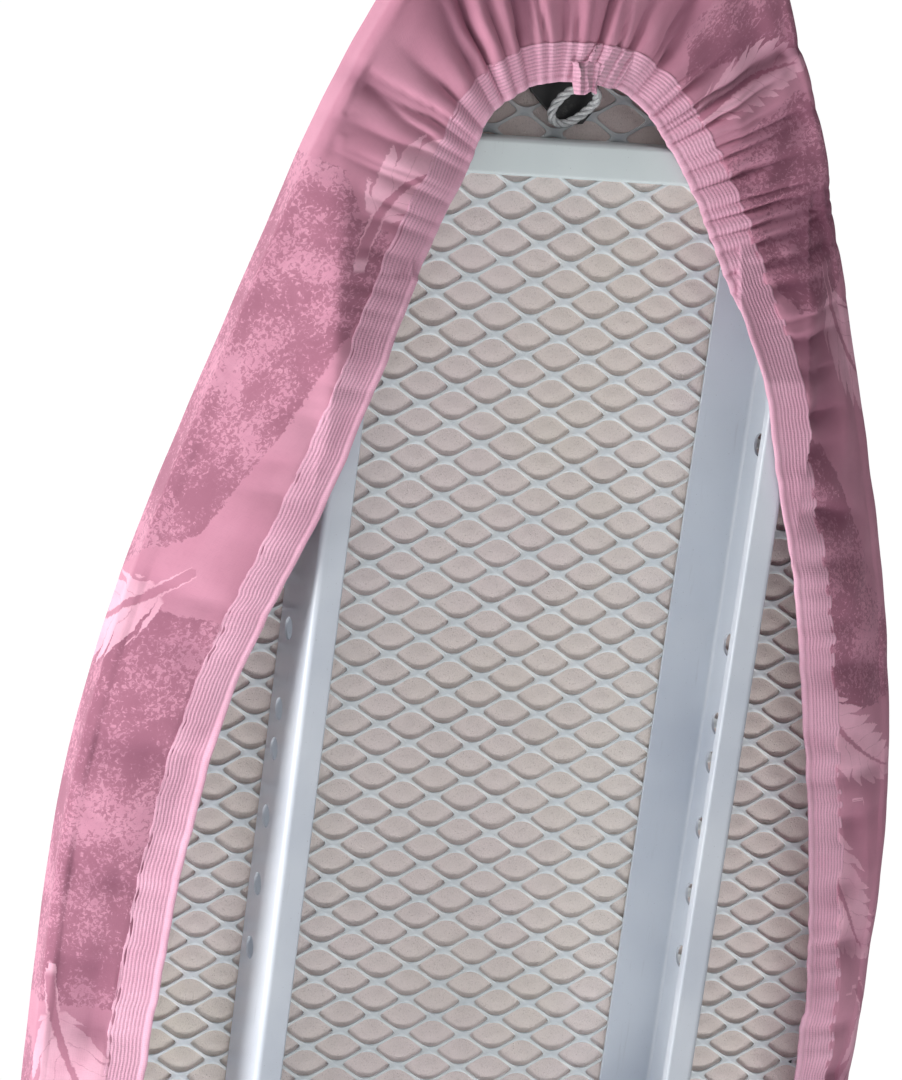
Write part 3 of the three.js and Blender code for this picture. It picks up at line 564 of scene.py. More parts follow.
def mat_cover():
    g = G("printed_cotton")
    fab = g.attr("fab", "Vector")
    lf, patch = g.attr("lf", "Vector"), g.attr("patch")
    # sponge-printed patches: pale flecks in clusters on a deeper ground
    fine = g.noise(fab, 0.62, 5.0, 0.70, 0.7)
    low = g.noise(fab, 0.032, 3.0, 0.6)
    low2 = g.noise(g.vmath("ADD", fab, (900, 40, 0)), 0.11, 3.0, 0.6)
    rag = g.noise(fab, 0.34, 4.0, 0.7)
    ragged = g.math("ADD", patch, g.math("MULTIPLY", g.math("SUBTRACT", rag, 0.5), 7.0))
    inside = g.range(ragged, -0.35, 0.35)
    dens = g.math("ADD", 0.452, g.math("MULTIPLY", g.math("SUBTRACT", low, 0.5), 0.66))
    dens = g.math("ADD", dens, g.math("MULTIPLY", g.math("SUBTRACT", low2, 0.5), 0.42))
    light = g.range(g.math("SUBTRACT", dens, fine), -0.012, 0.018)
    half = g.range(g.math("SUBTRACT", dens, fine), -0.085, 0.0)
    wash = g.noise(fab, 0.018, 4.0, 0.55)
    base = g.mix(g.range(wash, 0.36, 0.66), lin(*PLAIN_A), lin(*PLAIN_B))
    pale = g.mix(g.range(low2, 0.3, 0.7), lin(*FLECK_A), lin(*FLECK_B))
    deep = g.mix(g.range(low, 0.35, 0.65), lin(*DEEP_A), lin(*DEEP_B))
    ground = g.mix(g.math("MULTIPLY", half, 0.35), deep, pale)
    ground = g.mix(light, ground, pale)
    col = g.mix(inside, base, ground)
    # leaves: lf.x runs 0..1 along the vane, lf.y -1..1 across it, lf.z is the leaf's number
    sp = g.node("ShaderNodeSeparateXYZ")
    g.put(sp.inputs[0], lf)
    wob = g.math("MULTIPLY", g.math("SUBTRACT", g.noise(fab, 0.55, 3.0, 0.6), 0.5), 0.16)
    P_, Q_, K_ = sp.outputs[0], g.math("ADD", sp.outputs[1], wob), sp.outputs[2]
    aq = g.math("ABSOLUTE", Q_)
    side = g.math("SIGN", Q_)
    u = g.math("MULTIPLY", g.math("SUBTRACT", P_, g.math("MULTIPLY", aq, 0.27)), 7.0)
    u = g.math("ADD", u, g.math("MULTIPLY", side, 0.31))
    u = g.math("ADD", u, g.math("MULTIPLY", g.noise(fab, 0.08, 1.0, 0.5), 1.2))
    fr, fl = g.math("FRACT", u), g.math("FLOOR", u)
    wn = g.node("ShaderNodeTexWhiteNoise", noise_dimensions="3D")
    cmb = g.node("ShaderNodeCombineXYZ")
    g.put(cmb.inputs[0], fl)
    g.put(cmb.inputs[1], side)
    g.put(cmb.inputs[2], K_)
    g.put(wn.inputs["Vector"], cmb.outputs[0])
    rnd = wn.outputs["Value"]
    tooth = g.math("MINIMUM", g.math("MULTIPLY", fr, 1.28), g.math("MULTIPLY", g.math("SUBTRACT", 1.0, fr), 5.0))
    pc = g.math("MULTIPLY", g.math("MULTIPLY_ADD", P_, 0.93, 0.06), math.pi)
    env = g.math("POWER", g.math("MAXIMUM", g.math("SINE", g.math("MINIMUM", g.math("MAXIMUM", pc, 0.0), math.pi)), 0.0), 0.70)
    amp = g.math("MULTIPLY_ADD", rnd, 0.26, 0.16)
    lim = g.math("MULTIPLY", env, g.math("ADD", g.math("SUBTRACT", 1.0, amp), g.math("MULTIPLY", amp, tooth)))
    rel = g.math("DIVIDE", aq, g.math("MAXIMUM", env, 0.02))
    slit = g.math("MULTIPLY", g.math("MAXIMUM", g.math("SUBTRACT", rel, g.math("MULTIPLY_ADD", rnd, 0.30, 0.50)), 0.0), 0.60)
    dslit = g.math("MINIMUM", fr, g.math("MULTIPLY", g.math("SUBTRACT", 1.0, fr), 1.5))
    in_v = g.math("MULTIPLY", g.range(g.math("SUBTRACT", lim, aq), -0.012, 0.018), g.range(g.math("SUBTRACT", dslit, slit), -0.02, 0.03))
    in_v = g.math("MULTIPLY", in_v, g.range(P_, 0.0, 0.02))
    ribw = g.math("MAXIMUM", g.math("MULTIPLY_ADD", P_, -0.085, 0.105), 0.03)
    on_len = g.math("MULTIPLY", g.range(P_, -0.34, -0.30), g.range(P_, 0.93, 0.88))
    stemw = g.math("ADD", ribw, g.math("MULTIPLY", g.range(P_, -0.34, 0.1), 0.07))
    stem = g.math("MULTIPLY", g.range(g.math("SUBTRACT", stemw, aq), -0.01, 0.015), on_len)
    rib = g.math("MULTIPLY", g.range(g.math("SUBTRACT", ribw, aq), -0.02, 0.02), g.math("MULTIPLY", on_len, g.range(P_, -0.28, -0.22)))
    vein = g.math("MULTIPLY", g.range(dslit, 0.055, 0.015), g.range(rel, 0.62, 0.30))
    lcol = g.mix(g.range(g.noise(fab, 0.06, 2.0, 0.5), 0.35, 0.7), lin(*LEAF_A), lin(*LEAF_B))
    rcol = lin(*LEAF_RIB)
    inl = g.math("MAXIMUM", in_v, stem)
    col = g.mix(inl, col, lcol)
    col = g.mix(g.math("MULTIPLY", g.math("MULTIPLY", vein, in_v), 0.40), col, rcol)
    col = g.mix(g.math("MULTIPLY", rib, 0.92), col, rcol)
    # the bottoms of the pleats are shaded by the cloth either side
    col = g.mix(g.math("MULTIPLY", g.attr("crease"), 0.62), col, lin(122, 66, 92))
    # weave
    wx = g.wave(fab, 0.80, 0.6, "X", 1.0, 2.0)
    wy = g.wave(fab, 0.80, 0.6, "Y", 1.0, 2.0)
    weave = g.math("MULTIPLY", wx, wy)
    slub = g.noise(g.vmath("MULTIPLY", fab, (0.25, 3.2, 1)), 1.0, 3.0, 0.6)
    slub2 = g.noise(g.vmath("MULTIPLY", fab, (3.2, 0.25, 1)), 1.0, 3.0, 0.6)
    thread = g.math("MULTIPLY", g.math("ADD", slub, slub2), 0.5)
    col = g.mix(g.math("MULTIPLY", g.range(thread, 0.45, 0.7), 0.14), col, lin(140, 84, 112))
    col = g.mix(g.math("MULTIPLY", weave, 0.06), col, lin(240, 200, 218))
    nrm = g.bump(weave, 0.25, 0.00018)
    nrm = g.bump(thread, 0.30, 0.0004, nrm)
    g.bsdf(col, 0.88, nrm, Sheen_Weight=0.12, Sheen_Roughness=0.5, Sheen_Tint=lin(255, 225, 240))
    return g.m


def mat_elastic():
    g = G("elastic_knit")
    kn = g.attr("knit", "Vector")      # x along the band, y across it, mm
    groove = g.attr("groove")
    st = g.wave(kn, 0.42, 2.2, "X", 2.0, 1.5)
    fuzz = g.noise(g.vmath("MULTIPLY", kn, (0.9, 2.6, 1)), 1.0, 4.0, 0.65)
    col = g.mix(g.range(g.noise(kn, 0.05, 3.0, 0.55), 0.35, 0.65), lin(247, 191, 215), lin(239, 180, 205))
    # painted shade: the furrows between the ribs are darkened, by an amount that varies with the fuzz
    col = g.mix(g.math("MULTIPLY", groove, g.range(fuzz, 0.25, 0.75, 0.18, 0.85)), col, lin(165, 108, 134))
    col = g.mix(g.math("MULTIPLY", g.range(fuzz, 0.5, 0.72), 0.4), col, lin(243, 202, 220))
    col = g.mix(g.math("MULTIPLY", g.range(st, 0.5, 0.1), 0.07), col, lin(170, 112, 140))
    nrm = g.bump(g.math("ADD", g.math("MULTIPLY", st, 0.12), fuzz), 0.5, 0.0006)
    g.bsdf(col, 0.92, nrm, Sheen_Weight=0.35, Sheen_Roughness=0.5, Sheen_Tint=lin(255, 230, 240))
    return g.m


def mat_zinc():
    g = G("zinc_plate")
    o = g.coord()
    n = g.noise(o, 120, 4, 0.6)
    sp = g.voronoi(o, 420, out="Color")
    v = g.node("ShaderNodeSeparateColor")
    g.put(v.inputs[0], sp)
    col = g.mix(v.outputs[0], lin(186, 189, 192), lin(204, 205, 204))
    col = g.mix(g.math("MULTIPLY", g.range(n, 0.55, 0.75), 0.4), col, lin(150, 147, 138))
    r = g.math("ADD", 0.24, g.math("MULTIPLY", n, 0.22))
    nrm = g.bump(g.noise(g.vmath("MULTIPLY", o, (1, 8, 1)), 500, 3, 0.6), 0.12, 0.0002)
    g.bsdf(col, r, nrm, metal=0.92)
    return g.m


def mat_rubber(name, a, b, rough=0.62, scale=500, bump=0.2):
    g = G(name)
    o = g.coord()
    n = g.noise(o, 40, 4, 0.6)
    f = g.noise(o, scale, 3, 0.6)
    col = g.mix(g.range(n, 0.35, 0.7), lin(*a), lin(*b))
    dust = g.math("MULTIPLY", g.range(g.noise(o, 90, 5, 0.7), 0.55, 0.8), 0.35)
    col = g.mix(dust, col, lin(190, 188, 184))
    nrm = g.bump(f, bump, 0.0003)
    g.bsdf(col, g.math("ADD", rough, g.math("MULTIPLY", n, 0.2)), nrm)
    return g.m


def mat_cord():
    g = G("clear_cord")
    o = g.coord()
    tw = g.noise(g.vmath("MULTIPLY", o, (1, 1, 1)), 900, 3, 0.6, 0.6)
    col = g.mix(g.range(tw, 0.35, 0.7), lin(214, 218, 220), lin(246, 248, 250))
    nrm = g.bump(tw, 0.6, 0.0007)
    g.bsdf(col, 0.18, nrm, Transmission_Weight=0.45, IOR=1.45, Coat_Weight=0.6, Coat_Roughness=0.06,
           Subsurface_Weight=0.15, Subsurface_Radius=(0.002, 0.002, 0.002))
    return g.m


PLAIN_A, PLAIN_B = (208, 146, 169), (200, 135, 159)
FLECK_A, FLECK_B = (215, 154, 177), (203, 140, 164)
DEEP_A, DEEP_B = (163, 103, 126), (175, 114, 137)
LEAF_A, LEAF_B = (244, 188, 209), (232, 173, 195)
LEAF_RIB = (186, 121, 145)
PAINT = mat_paint()
FRAME_PAINT = mat_paint("rail_enamel", (222, 229, 238), (206, 214, 226), 0.26)
# painted light: the cross bars take a brighter copy of the white paint, making up for the shade they lie in
BAR_PAINT_BRIGHTENED = mat_paint("bar_enamel", (226, 236, 237), (216, 227, 229), 0.30)
MESHM = mat_mesh()
PADM = mat_pad()
COVERM = mat_cover()
ELAST = mat_elastic()
ZINC = mat_zinc()
RUBBER = mat_rubber("grey_rubber", (150, 154, 160), (132, 136, 142), 0.6)
NYLON = mat_rubber("grey_nylon", (126, 131, 138), (140, 144, 150), 0.42, 700, 0.12)
BLACK = mat_rubber("black_plastic", (22, 23, 25), (38, 39, 42), 0.34, 420, 0.3)
CORDM = mat_cord()

# ------------------------------------------------------------------ deck outline and elastic line
TR = 60.0
c45, c22, s22 = math.sqrt(0.5), math.cos(math.radians(22.5)), math.sin(math.radians(22.5))
CS, CY = LEN - TR, HW - TR
HALF = np.array([
    [0, 0, 81, 0], [2.2, 18, 81.2, 6], [8, 35, 82, 12], [18, 50, 84, 17.5], [30, 60.5, 87, 22.5], [43, 68, 91, 27],
    [58.7, 75, 96, 31.3], [76, 83, 104, 36], [93.2, 89.9, 114, 41], [110.4, 96.1, 127, 47.6], [127.7, 101.4, 141, 54],
    [145, 106.9, 155, 60.3], [162.2, 112.4, 170, 66.2], [179.4, 117.8, 185, 71.6], [196.6, 123.3, 200, 76],
    [213.9, 128.6, 216, 80.6], [231.1, 133.9, 232, 86], [248.4, 138.8, 249, 92], [272, 144.8, 272, 99.5],
    [300, 150.6, 300, 107.3], [334.6, 156.1, 334, 114.8], [369, 158.9, 369, 120.6], [410, 160.0, 410, 125.3],
    [455, HW, 455, 127.8], [560, HW, 560, 128.5], [680, HW, 680, 128.5], [800, HW, 795, 128.5],
    [900, HW, 885, 128.5], [980, HW, 950, 127.5], [CS, HW, 985, 122],
    [CS + TR * s22, CY + TR * c22, 1002, 114], [CS + TR * c45, CY + TR * c45, 1014, 103],
    [CS + TR * c22, CY + TR * s22, 1022, 88], [LEN, CY, 1028, 68], [LEN, 50, 1031, 34], [LEN, 0, 1032, 0]], float)
SHIFT = ([0, 95, 113, 310, 340, 365, 390, 412, 450, 560, 700, 1100], [-4, -4, 0, 0, 1.7, 2.8, 4.4, 5.1, 5.6, 4, 0, 0])


def shift(s):
    return np.interp(s, *SHIFT)


ring = [(XN - s, w, XN - es, ey + shift(es)) for s, w, es, ey in HALF] + \
       [(XN - s, -w, XN - es, -ey + shift(es)) for s, w, es, ey in HALF[-2:0:-1]]
ring = np.array(ring)


def hermite_ring(P, per=80):
    h = np.linalg.norm(np.roll(P[:, :2], -1, 0) - P[:, :2], axis=1)
    d = (np.roll(P, -1, 0) - P) / h[:, None]
    dm, hm = np.roll(d, 1, 0), np.roll(h, 1)
    m = (dm * h[:, None] + d * hm[:, None]) / (h + hm)[:, None]
    out = []
    for i in range(len(P)):
        t = np.linspace(0, 1, per, endpoint=False)[:, None]
        j = (i + 1) % len(P)
        out.append((2 * t ** 3 - 3 * t ** 2 + 1) * P[i] + (t ** 3 - 2 * t ** 2 + t) * h[i] * m[i]
                   + (-2 * t ** 3 + 3 * t ** 2) * P[j] + (t ** 3 - t ** 2) * h[i] * m[j])
    return np.concatenate(out)


FINE = hermite_ring(ring)


def normals2(P):
    T = np.roll(P, -1, 0) - np.roll(P, 1, 0)
    T /= np.linalg.norm(T, axis=1)[:, None]
    return np.stack([T[:, 1], -T[:, 0]], 1)


def arclen(P):
    d = np.linalg.norm(np.roll(P, -1, 0) - P, axis=1)
    return np.concatenate([[0], np.cumsum(d)])


AO, AE = arclen(FINE[:, :2]), arclen(FINE[:, 2:])


def resample(density):
    """Columns round the ring: density gives columns per mm at each fine point."""
    w = density * np.diff(AO)
    cum = np.concatenate([[0], np.cumsum(w)])
    n = int(round(cum[-1]))
    u = np.interp(np.arange(n) / n * cum[-1], cum, np.arange(len(FINE) + 1))
    i = np.floor(u).astype(int)
    f = (u - i)[:, None]
    ext = np.vstack([FINE, FINE[:1]])
    P = ext[i] * (1 - f) + ext[i + 1] * f
    return P, np.interp(u, np.arange(len(AO)), AO), np.interp(u, np.arange(len(AE)), AE)


def inset_ring(d, n_per_mm=0.5):
    """The outline drawn in by d, sampled evenly."""
    P, _, _ = resample(np.full(len(FINE), n_per_mm))
    N = normals2(P[:, :2])
    return P[:, :2] - N * d


def half_width(s):
    return np.interp(s, HALF[:, 0], HALF[:, 1])


TAPER = ([100, 115.4, 178, 985, 1030, 1060], [12, 13, 35, 35, 17, 12.5])
HEM = ([60, 110, 150, 178, 240, 320, 420, 900, 1000, 1100], [15, 16.5, 28, 38.2, 38.2, 27, 20, 20, 22, 22])


# ------------------------------------------------------------------ expanded mesh
PU, PV, U0, V0 = 24.0, 13.2988, -29.0, 120.0
SH = PU * math.tan(math.radians(0.9))


def lattice(a, b):
    """Centre of cell (a, b) as (s, y)."""
    return V0 + PV * b + SH * a, U0 + PU * a


def build_mesh():
    hexa = np.array([(9.9, 0), (2.1, 5.15), (-2.1, 5.15), (-9.9, 0), (-2.1, -5.15), (2.1, -5.15)], float)
    # opening with slightly bowed sides and rounded corners
    n = 30
    pts = []
    for k in range(6):
        p, q = hexa[k], hexa[(k + 1) % 6]
        m = 7 if abs(p[1] - q[1]) > 1 else 2
        for t in np.arange(m) / m:
            pts.append(p * (1 - t) + q * t)
    H = np.array(pts)
    for _ in range(2):
        H = 0.25 * np.roll(H, 1, 0) + 0.5 * H + 0.25 * np.roll(H, -1, 0)
    ang = np.arctan2(H[:, 1] / 6.6, H[:, 0] / 12)
    c, s = np.cos(ang), np.sin(ang)
    k = 1 / (np.abs(c) / 12.0 + np.abs(s) / (PV / 2))
    D = np.stack([c * k, s * k], 1)
    # make sure the four corners of the cell are hit
    for tgt in ((12, 0), (-12, 0), (0, PV / 2), (0, -PV / 2)):
        D[np.argmin(((D - tgt) ** 2).sum(1))] = tgt
    m = len(H)
    t, a = 0.85, 0.42
    kn = 1 - np.clip(np.abs(np.abs(H[:, 1]) - 2.6) / 2.6, 0, 1)      # 1 midway along a strand
    tiltH = -a * H[:, 1] / 5.15
    Hb = H + 0.28 * (D - H) / np.linalg.norm(D - H, axis=1)[:, None]
    rings = [
        (D, np.zeros(m) - 0.0, np.ones(m)),                 # underside, cell border
        (Hb, tiltH * 0.86 - 0.02, np.zeros(m)),
        (H, tiltH + 0.14, np.zeros(m)),                     # rounded lower edge
        (H, tiltH + t - 0.14, np.zeros(m)),
        (Hb, tiltH * 0.86 + t + 0.02, np.zeros(m)),
        (D, np.zeros(m) + t, np.ones(m)),                   # upper side
    ]
    cells = []
    for b2 in range(-20, 160):
        for a2 in range(-16, 17):
            a_, b_ = a2 / 2, b2 / 2
            if (a2 % 2) != (b2 % 2):
                continue
            s0, y0 = lattice(a_, b_)
            if -8 < s0 < LEN + 8 and abs(y0) < half_width(np.clip(s0, 0, LEN)) + 8:
                cells.append((s0, y0))
    cells = np.array(cells)
    Vs, Ks = [], []
    for (R_, z, kk) in rings:
        jit = 0.10 * (vnoise(cells[:, 0:1] * 0.9 + R_[None, :, 0] * .3, cells[:, 1:2] * 0.9 + R_[None, :, 1] * .3, 3) - 0.5)
        x = XN - (cells[:, 0:1] + R_[None, :, 1] + SH / PU * R_[None, :, 0])
        y = cells[:, 1:2] + R_[None, :, 0]
        zz = ZM + 0.12 + z[None] + 0 * x
        Vs.append(np.stack([x, y, zz + (jit if kk[0] == 0 else 0)], -1))
        # knuckle: 1 at the joins of the strands, where the mesh material paints shade
        kd = np.minimum(np.hypot(R_[:, 0] - 12 * np.sign(R_[:, 0]), R_[:, 1]), np.hypot(R_[:, 0], R_[:, 1] - PV / 2 * np.sign(R_[:, 1])))
        Ks.append(np.broadcast_to(np.clip(1.35 - kd / 3.4, 0, 1), x.shape))
    V = np.stack(Vs, 1)            # cell, ring, point
    Kn = np.stack(Ks, 1)
    nc, nr = V.shape[0], len(rings)
    F = []
    base = np.arange(nc) * nr * m
    for r in range(nr - 1):
        j = np.arange(m)
        q = np.stack([r * m + j, r * m + (j + 1) % m, (r + 1) * m + (j + 1) % m, (r + 1) * m + j], -1)
        F.append((base[:, None, None] + q[None]).reshape(-1, 4))
    F = np.concatenate(F)
    V, Kn = V.reshape(-1, 3), Kn.reshape(-1)
    # hold everything inside the rim
    R_ = inset_ring(3.7, 0.35)
    tree_out = R_
    inside = point_in(R_, V[:, :2])
    cellin = inside.reshape(nc, -1).mean(1)
    keep = cellin > 0.12
    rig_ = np.repeat(keep, nr * m)
    outv = ~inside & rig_
    V[outv, :2] = nearest_on(R_, V[outv, :2])
    F = F[keep[F[:, 0] // (nr * m)]]
    used = np.unique(F)
    remap = np.full(len(V), -1)
    remap[used] = np.arange(len(used))
    ob = make("mesh_deck", V[used], remap[F], MESHM, attrs={"knuckle": ("FLOAT", Kn[used])}, slot="white_paint")
    return weld(ob, 2e-5)


def point_in(poly, P):
    """Even-odd test, by x-sorted half widths: the outline is star-like in y for each x."""
    up = poly[poly[:, 1] >= 0]
    dn = poly[poly[:, 1] < 0]
    up, dn = up[np.argsort(up[:, 0])], dn[np.argsort(dn[:, 0])]
    yu = np.interp(P[:, 0], up[:, 0], up[:, 1])
    yd = np.interp(P[:, 0], dn[:, 0], dn[:, 1])
    return (P[:, 0] > poly[:, 0].min()) & (P[:, 0] < poly[:, 0].max()) & (P[:, 1] < yu) & (P[:, 1] > yd)


def nearest_on(poly, P):
    out = np.empty_like(P)
    A, B = poly, np.roll(poly, -1, 0)
    d = B - A
    L = (d ** 2).sum(1)
    for k in range(0, len(P), 4000):
        q = P[k:k + 4000]
        t = np.clip(((q[:, None] - A[None]) * d[None]).sum(-1) / L[None], 0, 1)
        c = A[None] + t[..., None] * d[None]
        i = ((q[:, None] - c) ** 2).sum(-1).argmin(1)
        out[k:k + 4000] = c[np.arange(len(q)), i]
    return out


MESH = build_mesh()
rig.ride(MESH, "deck")
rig.replaces(MESH, "mesh_top")


# ------------------------------------------------------------------ pad: its underside swells a little into each opening
def cellwave(s, y):
    a = (y - U0) / PU
    b = (s - V0 - SH * a) / PV
    return 0.5 + 0.5 * np.cos(TAU * a) * np.cos(TAU * b)


def build_pad():
    R_ = inset_ring(2.8, 0.6)
    zb, zt = ZM + 1.25, ZM + 1.2 + 5.0
    xs = np.arange(XN - LEN + 3.0, XN - 2.9, 2.3)
    ny = 141
    k = np.linspace(-1, 1, ny)
    up = R_[R_[:, 1] >= 0]
    up = up[np.argsort(up[:, 0])]
    w = np.interp(xs, up[:, 0], up[:, 1])
    w = np.maximum(w, 1.5)
    Xg = np.repeat(xs[:, None], ny, 1)
    Yg = w[:, None] * k[None]
    e = np.clip((w[:, None] - np.abs(Yg)) / 6, 0, 1) * np.clip((Xg - xs[0]) / 6, 0, 1) * np.clip((xs[-1] - Xg) / 6, 0, 1)
    s = XN - Xg
    swell = 0.95 * cellwave(s, Yg) ** 1.2 + 0.5 * (vnoise(Xg / 34, Yg / 34, 5) - 0.5) + 0.22 * (vnoise(Xg / 5, Yg / 5, 6) - 0.5)
    zbot = zb - smooth(e) * swell
    ztop = zt - 0.9 * (1 - smooth(e)) + 0 * Xg
    A = np.stack([Xg, Yg, zbot], -1)
    B = np.stack([Xg, Yg, ztop], -1)
    n = len(xs)
    V = np.concatenate([A.reshape(-1, 3), B.reshape(-1, 3)])
    F = [grid_faces(n, ny)[:, ::-1], grid_faces(n, ny, off=n * ny)]
    border = np.concatenate([np.arange(ny), np.arange(1, n) * ny + ny - 1,
                             (n - 1) * ny + np.arange(ny - 2, -1, -1), np.arange(n - 2, 0, -1) * ny])
    b2 = np.roll(border, -1)
    F.append(np.stack([border, b2, b2 + n * ny, border + n * ny], -1))
    ob = make("pad", V, np.concatenate(F), PADM, slot="foam")
    return fix_normals(ob)


PAD = build_pad()
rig.ride(PAD, "deck")
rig.replaces(PAD, "foam_pad")


# ------------------------------------------------------------------ rim, cross bars and rails
def build_rim():
    P, _, _ = resample(np.full(len(FINE), 0.4))
    P = P[:, :2]
    N = normals2(P)
    z1, z0 = ZM - 0.2, ZM - 10.2
    sec = []
    for cx, cz, a0 in ((1.6 + 1, z1 - 1, 0), (1.6 + 1, z0 + 1, -180)):
        for k in range(7):
            a = math.radians(a0 + 180 * k / 6)
            sec.append((cx - math.cos(a), cz + math.sin(a)))
    rings = np.array([[(p[0] - n[0] * d, p[1] - n[1] * d, z) for d, z in sec] for p, n in zip(P, N)])
    return loft("rim", rings, PAINT, cap=False, closed=True, slot="white_paint")


RIM = build_rim()
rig.ride(RIM, "deck")
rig.replaces(RIM, "edge_rim")


def build_bar(name, node):
    a, b = lo(node), hi(node)
    CADV = np.array([v.co for v in frame["nodes"][node].data.vertices], float) * 1000
    y_at = lambda x: np.abs(CADV[np.abs(CADV[:, 0] - x) < 0.3][:, 1]).max()
    ya, yb = y_at(a[0]), y_at(b[0])
    r, t = 1.7, 0.9
    x0, x1, z0, z1 = a[0], b[0], a[2], b[2]

    def sec(x0, x1, z0, z1, r, n=7):
        out = []
        for cx, cz, a0 in ((x1 - r, z1 - r, 0), (x0 + r, z1 - r, 90), (x0 + r, z0 + r, 180), (x1 - r, z0 + r, 270)):
            for k in range(n):
                q = math.radians(a0 + 90 * k / (n - 1))
                out.append((cx + r * math.cos(q), cz + r * math.sin(q)))
        return out
    so, si = sec(x0, x1, z0, z1, r), sec(x0 + t, x1 - t, z0 + t, z1 - t, r - t + 0.1)

    def end(x):
        return ya + (yb - ya) * (x - x0) / (x1 - x0)
    ks = np.linspace(-1, 1, 25)
    rings = [[(x, k * end(x), z) for x, z in so] for k in ks] + [[(x, k * end(x), z) for x, z in si] for k in ks[::-1]]
    ob = loft(name, rings, BAR_PAINT_BRIGHTENED, cap=False, closed=True, sharp=40, slot="white_paint")
    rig.ride(ob, "deck")
    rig.replaces(ob, node)
    return ob


build_bar("nose_bar", "nose_crossbar")
build_bar("tail_bar", "tail_crossbar")


def rail_section():
    o, t, d, R_ = 84.0, 0.9, 35.0, 2.4
    i, zt = o - t, ZM - 0.2
    zb, r = zt - d, R_ - t
    top_in, bot_in, lip = 63.5, 73.8, 3.4

    def arc(cy, cz, rad, a0, a1, n=8):
        return [(cy + rad * math.cos(math.radians(a0 + (a1 - a0) * k / n)), cz + rad * math.sin(math.radians(a0 + (a1 - a0) * k / n))) for k in range(n + 1)]
    rl = 0.9
    return ([(top_in + 0.25, zt), ] + arc(o - R_, zt - R_, R_, 90, 0) + arc(o - R_, zb + R_, R_, 0, -90)
            + arc(bot_in + rl, zb + rl, rl, -90, -180, 4)
            + arc(bot_in + t / 2, zb + lip - 0.1, t / 2, 180, 0, 6)
            + [(bot_in + t, zb + t + 0.15), (bot_in + t + 0.15, zb + t)]
            + arc(i - r, zb + t + r, r, -90, 0) + arc(i - r, zt - t - r, r, 0, 90)
            + [(top_in + 0.25, zt - t), (top_in, zt - t + 0.25), (top_in, zt - 0.25)])


def build_rail(name, node, side):
    sec = rail_section()
    s0, s1 = XN - hi(node)[0], XN - lo(node)[0]
    rings = [[(X(s), side * y, z) for y, z in sec] for s in (s1, s0)]
    ob = loft(name, rings, FRAME_PAINT, sharp=60, slot="white_paint")
    zt = ZM - 0.2
    tools = []
    for (sa, da, sb, db) in ((95, 6.0, 178, 35.0), (985, 35.0, 1068, 3.5)):
        xs = [X(sa), X(sb)]
        V = [(x, side * y, z) for x, d in ((X(sa), da), (X(sb), db)) for y in (50, 100) for z in (zt - d, zt - d - 60)]
        F = [(0, 1, 3, 2), (4, 6, 7, 5), (0, 4, 5, 1), (2, 3, 7, 6), (0, 2, 6, 4), (1, 5, 7, 3)]
        tools.append(fix_normals(make("tool", V, F, None, flat=True)))
    for s in (206, 281, 311, 326, 351.5, 377.5, 402, 493.5, 520, 547):
        tools.append(turned("tool", [(side * 70, 4.2), (side * 100, 4.2)], X(s), PZ, None, n=40))
    tools.append(turned("tool", [(side * 70, 4.3), (side * 100, 4.3)], TAILP[0], PZ, None, n=32))
    cut(ob, *tools)
    ob.data.materials.clear()
    ob.data.materials.append(FRAME_PAINT)
    weighted(ob, 28)
    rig.ride(ob, "deck")
    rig.replaces(ob, node)
    return ob


build_rail("rail_left", "left_rail", 1)
build_rail("rail_right", "right_rail", -1)


# ------------------------------------------------------------------ pivots, tubes and pins
def ring_tube(name, node, R_, r, mat, slot, ch=0.8, n=56, y0=None, y1=None, rides=None):
    """A plain bushing: bored, with chamfered ends, in its CAD node's place."""
    a, b = lo(node), hi(node)
    x, z = (a[0] + b[0]) / 2, (a[2] + b[2]) / 2
    p = [(a[1], r + ch * .6), (a[1], R_ - ch), (a[1] + ch, R_), (b[1] - ch, R_), (b[1], R_ - ch), (b[1], r + ch * .6),
         (b[1] - ch * .6, r), (a[1] + ch * .6, r)]
    mid = (a[1] + b[1]) / 2
    if b[1] - a[1] > 12:
        g = 0.35
        p[3:3] = [(mid - 1.6, R_), (mid - 1.2, R_ - g), (mid + 1.2, R_ - g), (mid + 1.6, R_)]
    ob = turned(name, p, x, z, mat, n=n, slot=slot, closed=True)
    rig.ride(ob, frame["nodes"][node]["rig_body"])
    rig.replaces(ob, node)
    return ob


def solid_rod(name, node, r, mat, slot, ch=0.7):
    a, b = lo(node), hi(node)
    x, z = (a[0] + b[0]) / 2, (a[2] + b[2]) / 2
    p = [(a[1], r - ch), (a[1] + ch, r)] + [(y, r) for y in np.linspace(a[1] + 3, b[1] - 3, 5)] + [(b[1] - ch, r), (b[1], r - ch)]
    ob = turned(name, p, x, z, mat, n=40, slot=slot)
    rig.ride(ob, frame["nodes"][node]["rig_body"])
    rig.replaces(ob, node)
    return ob


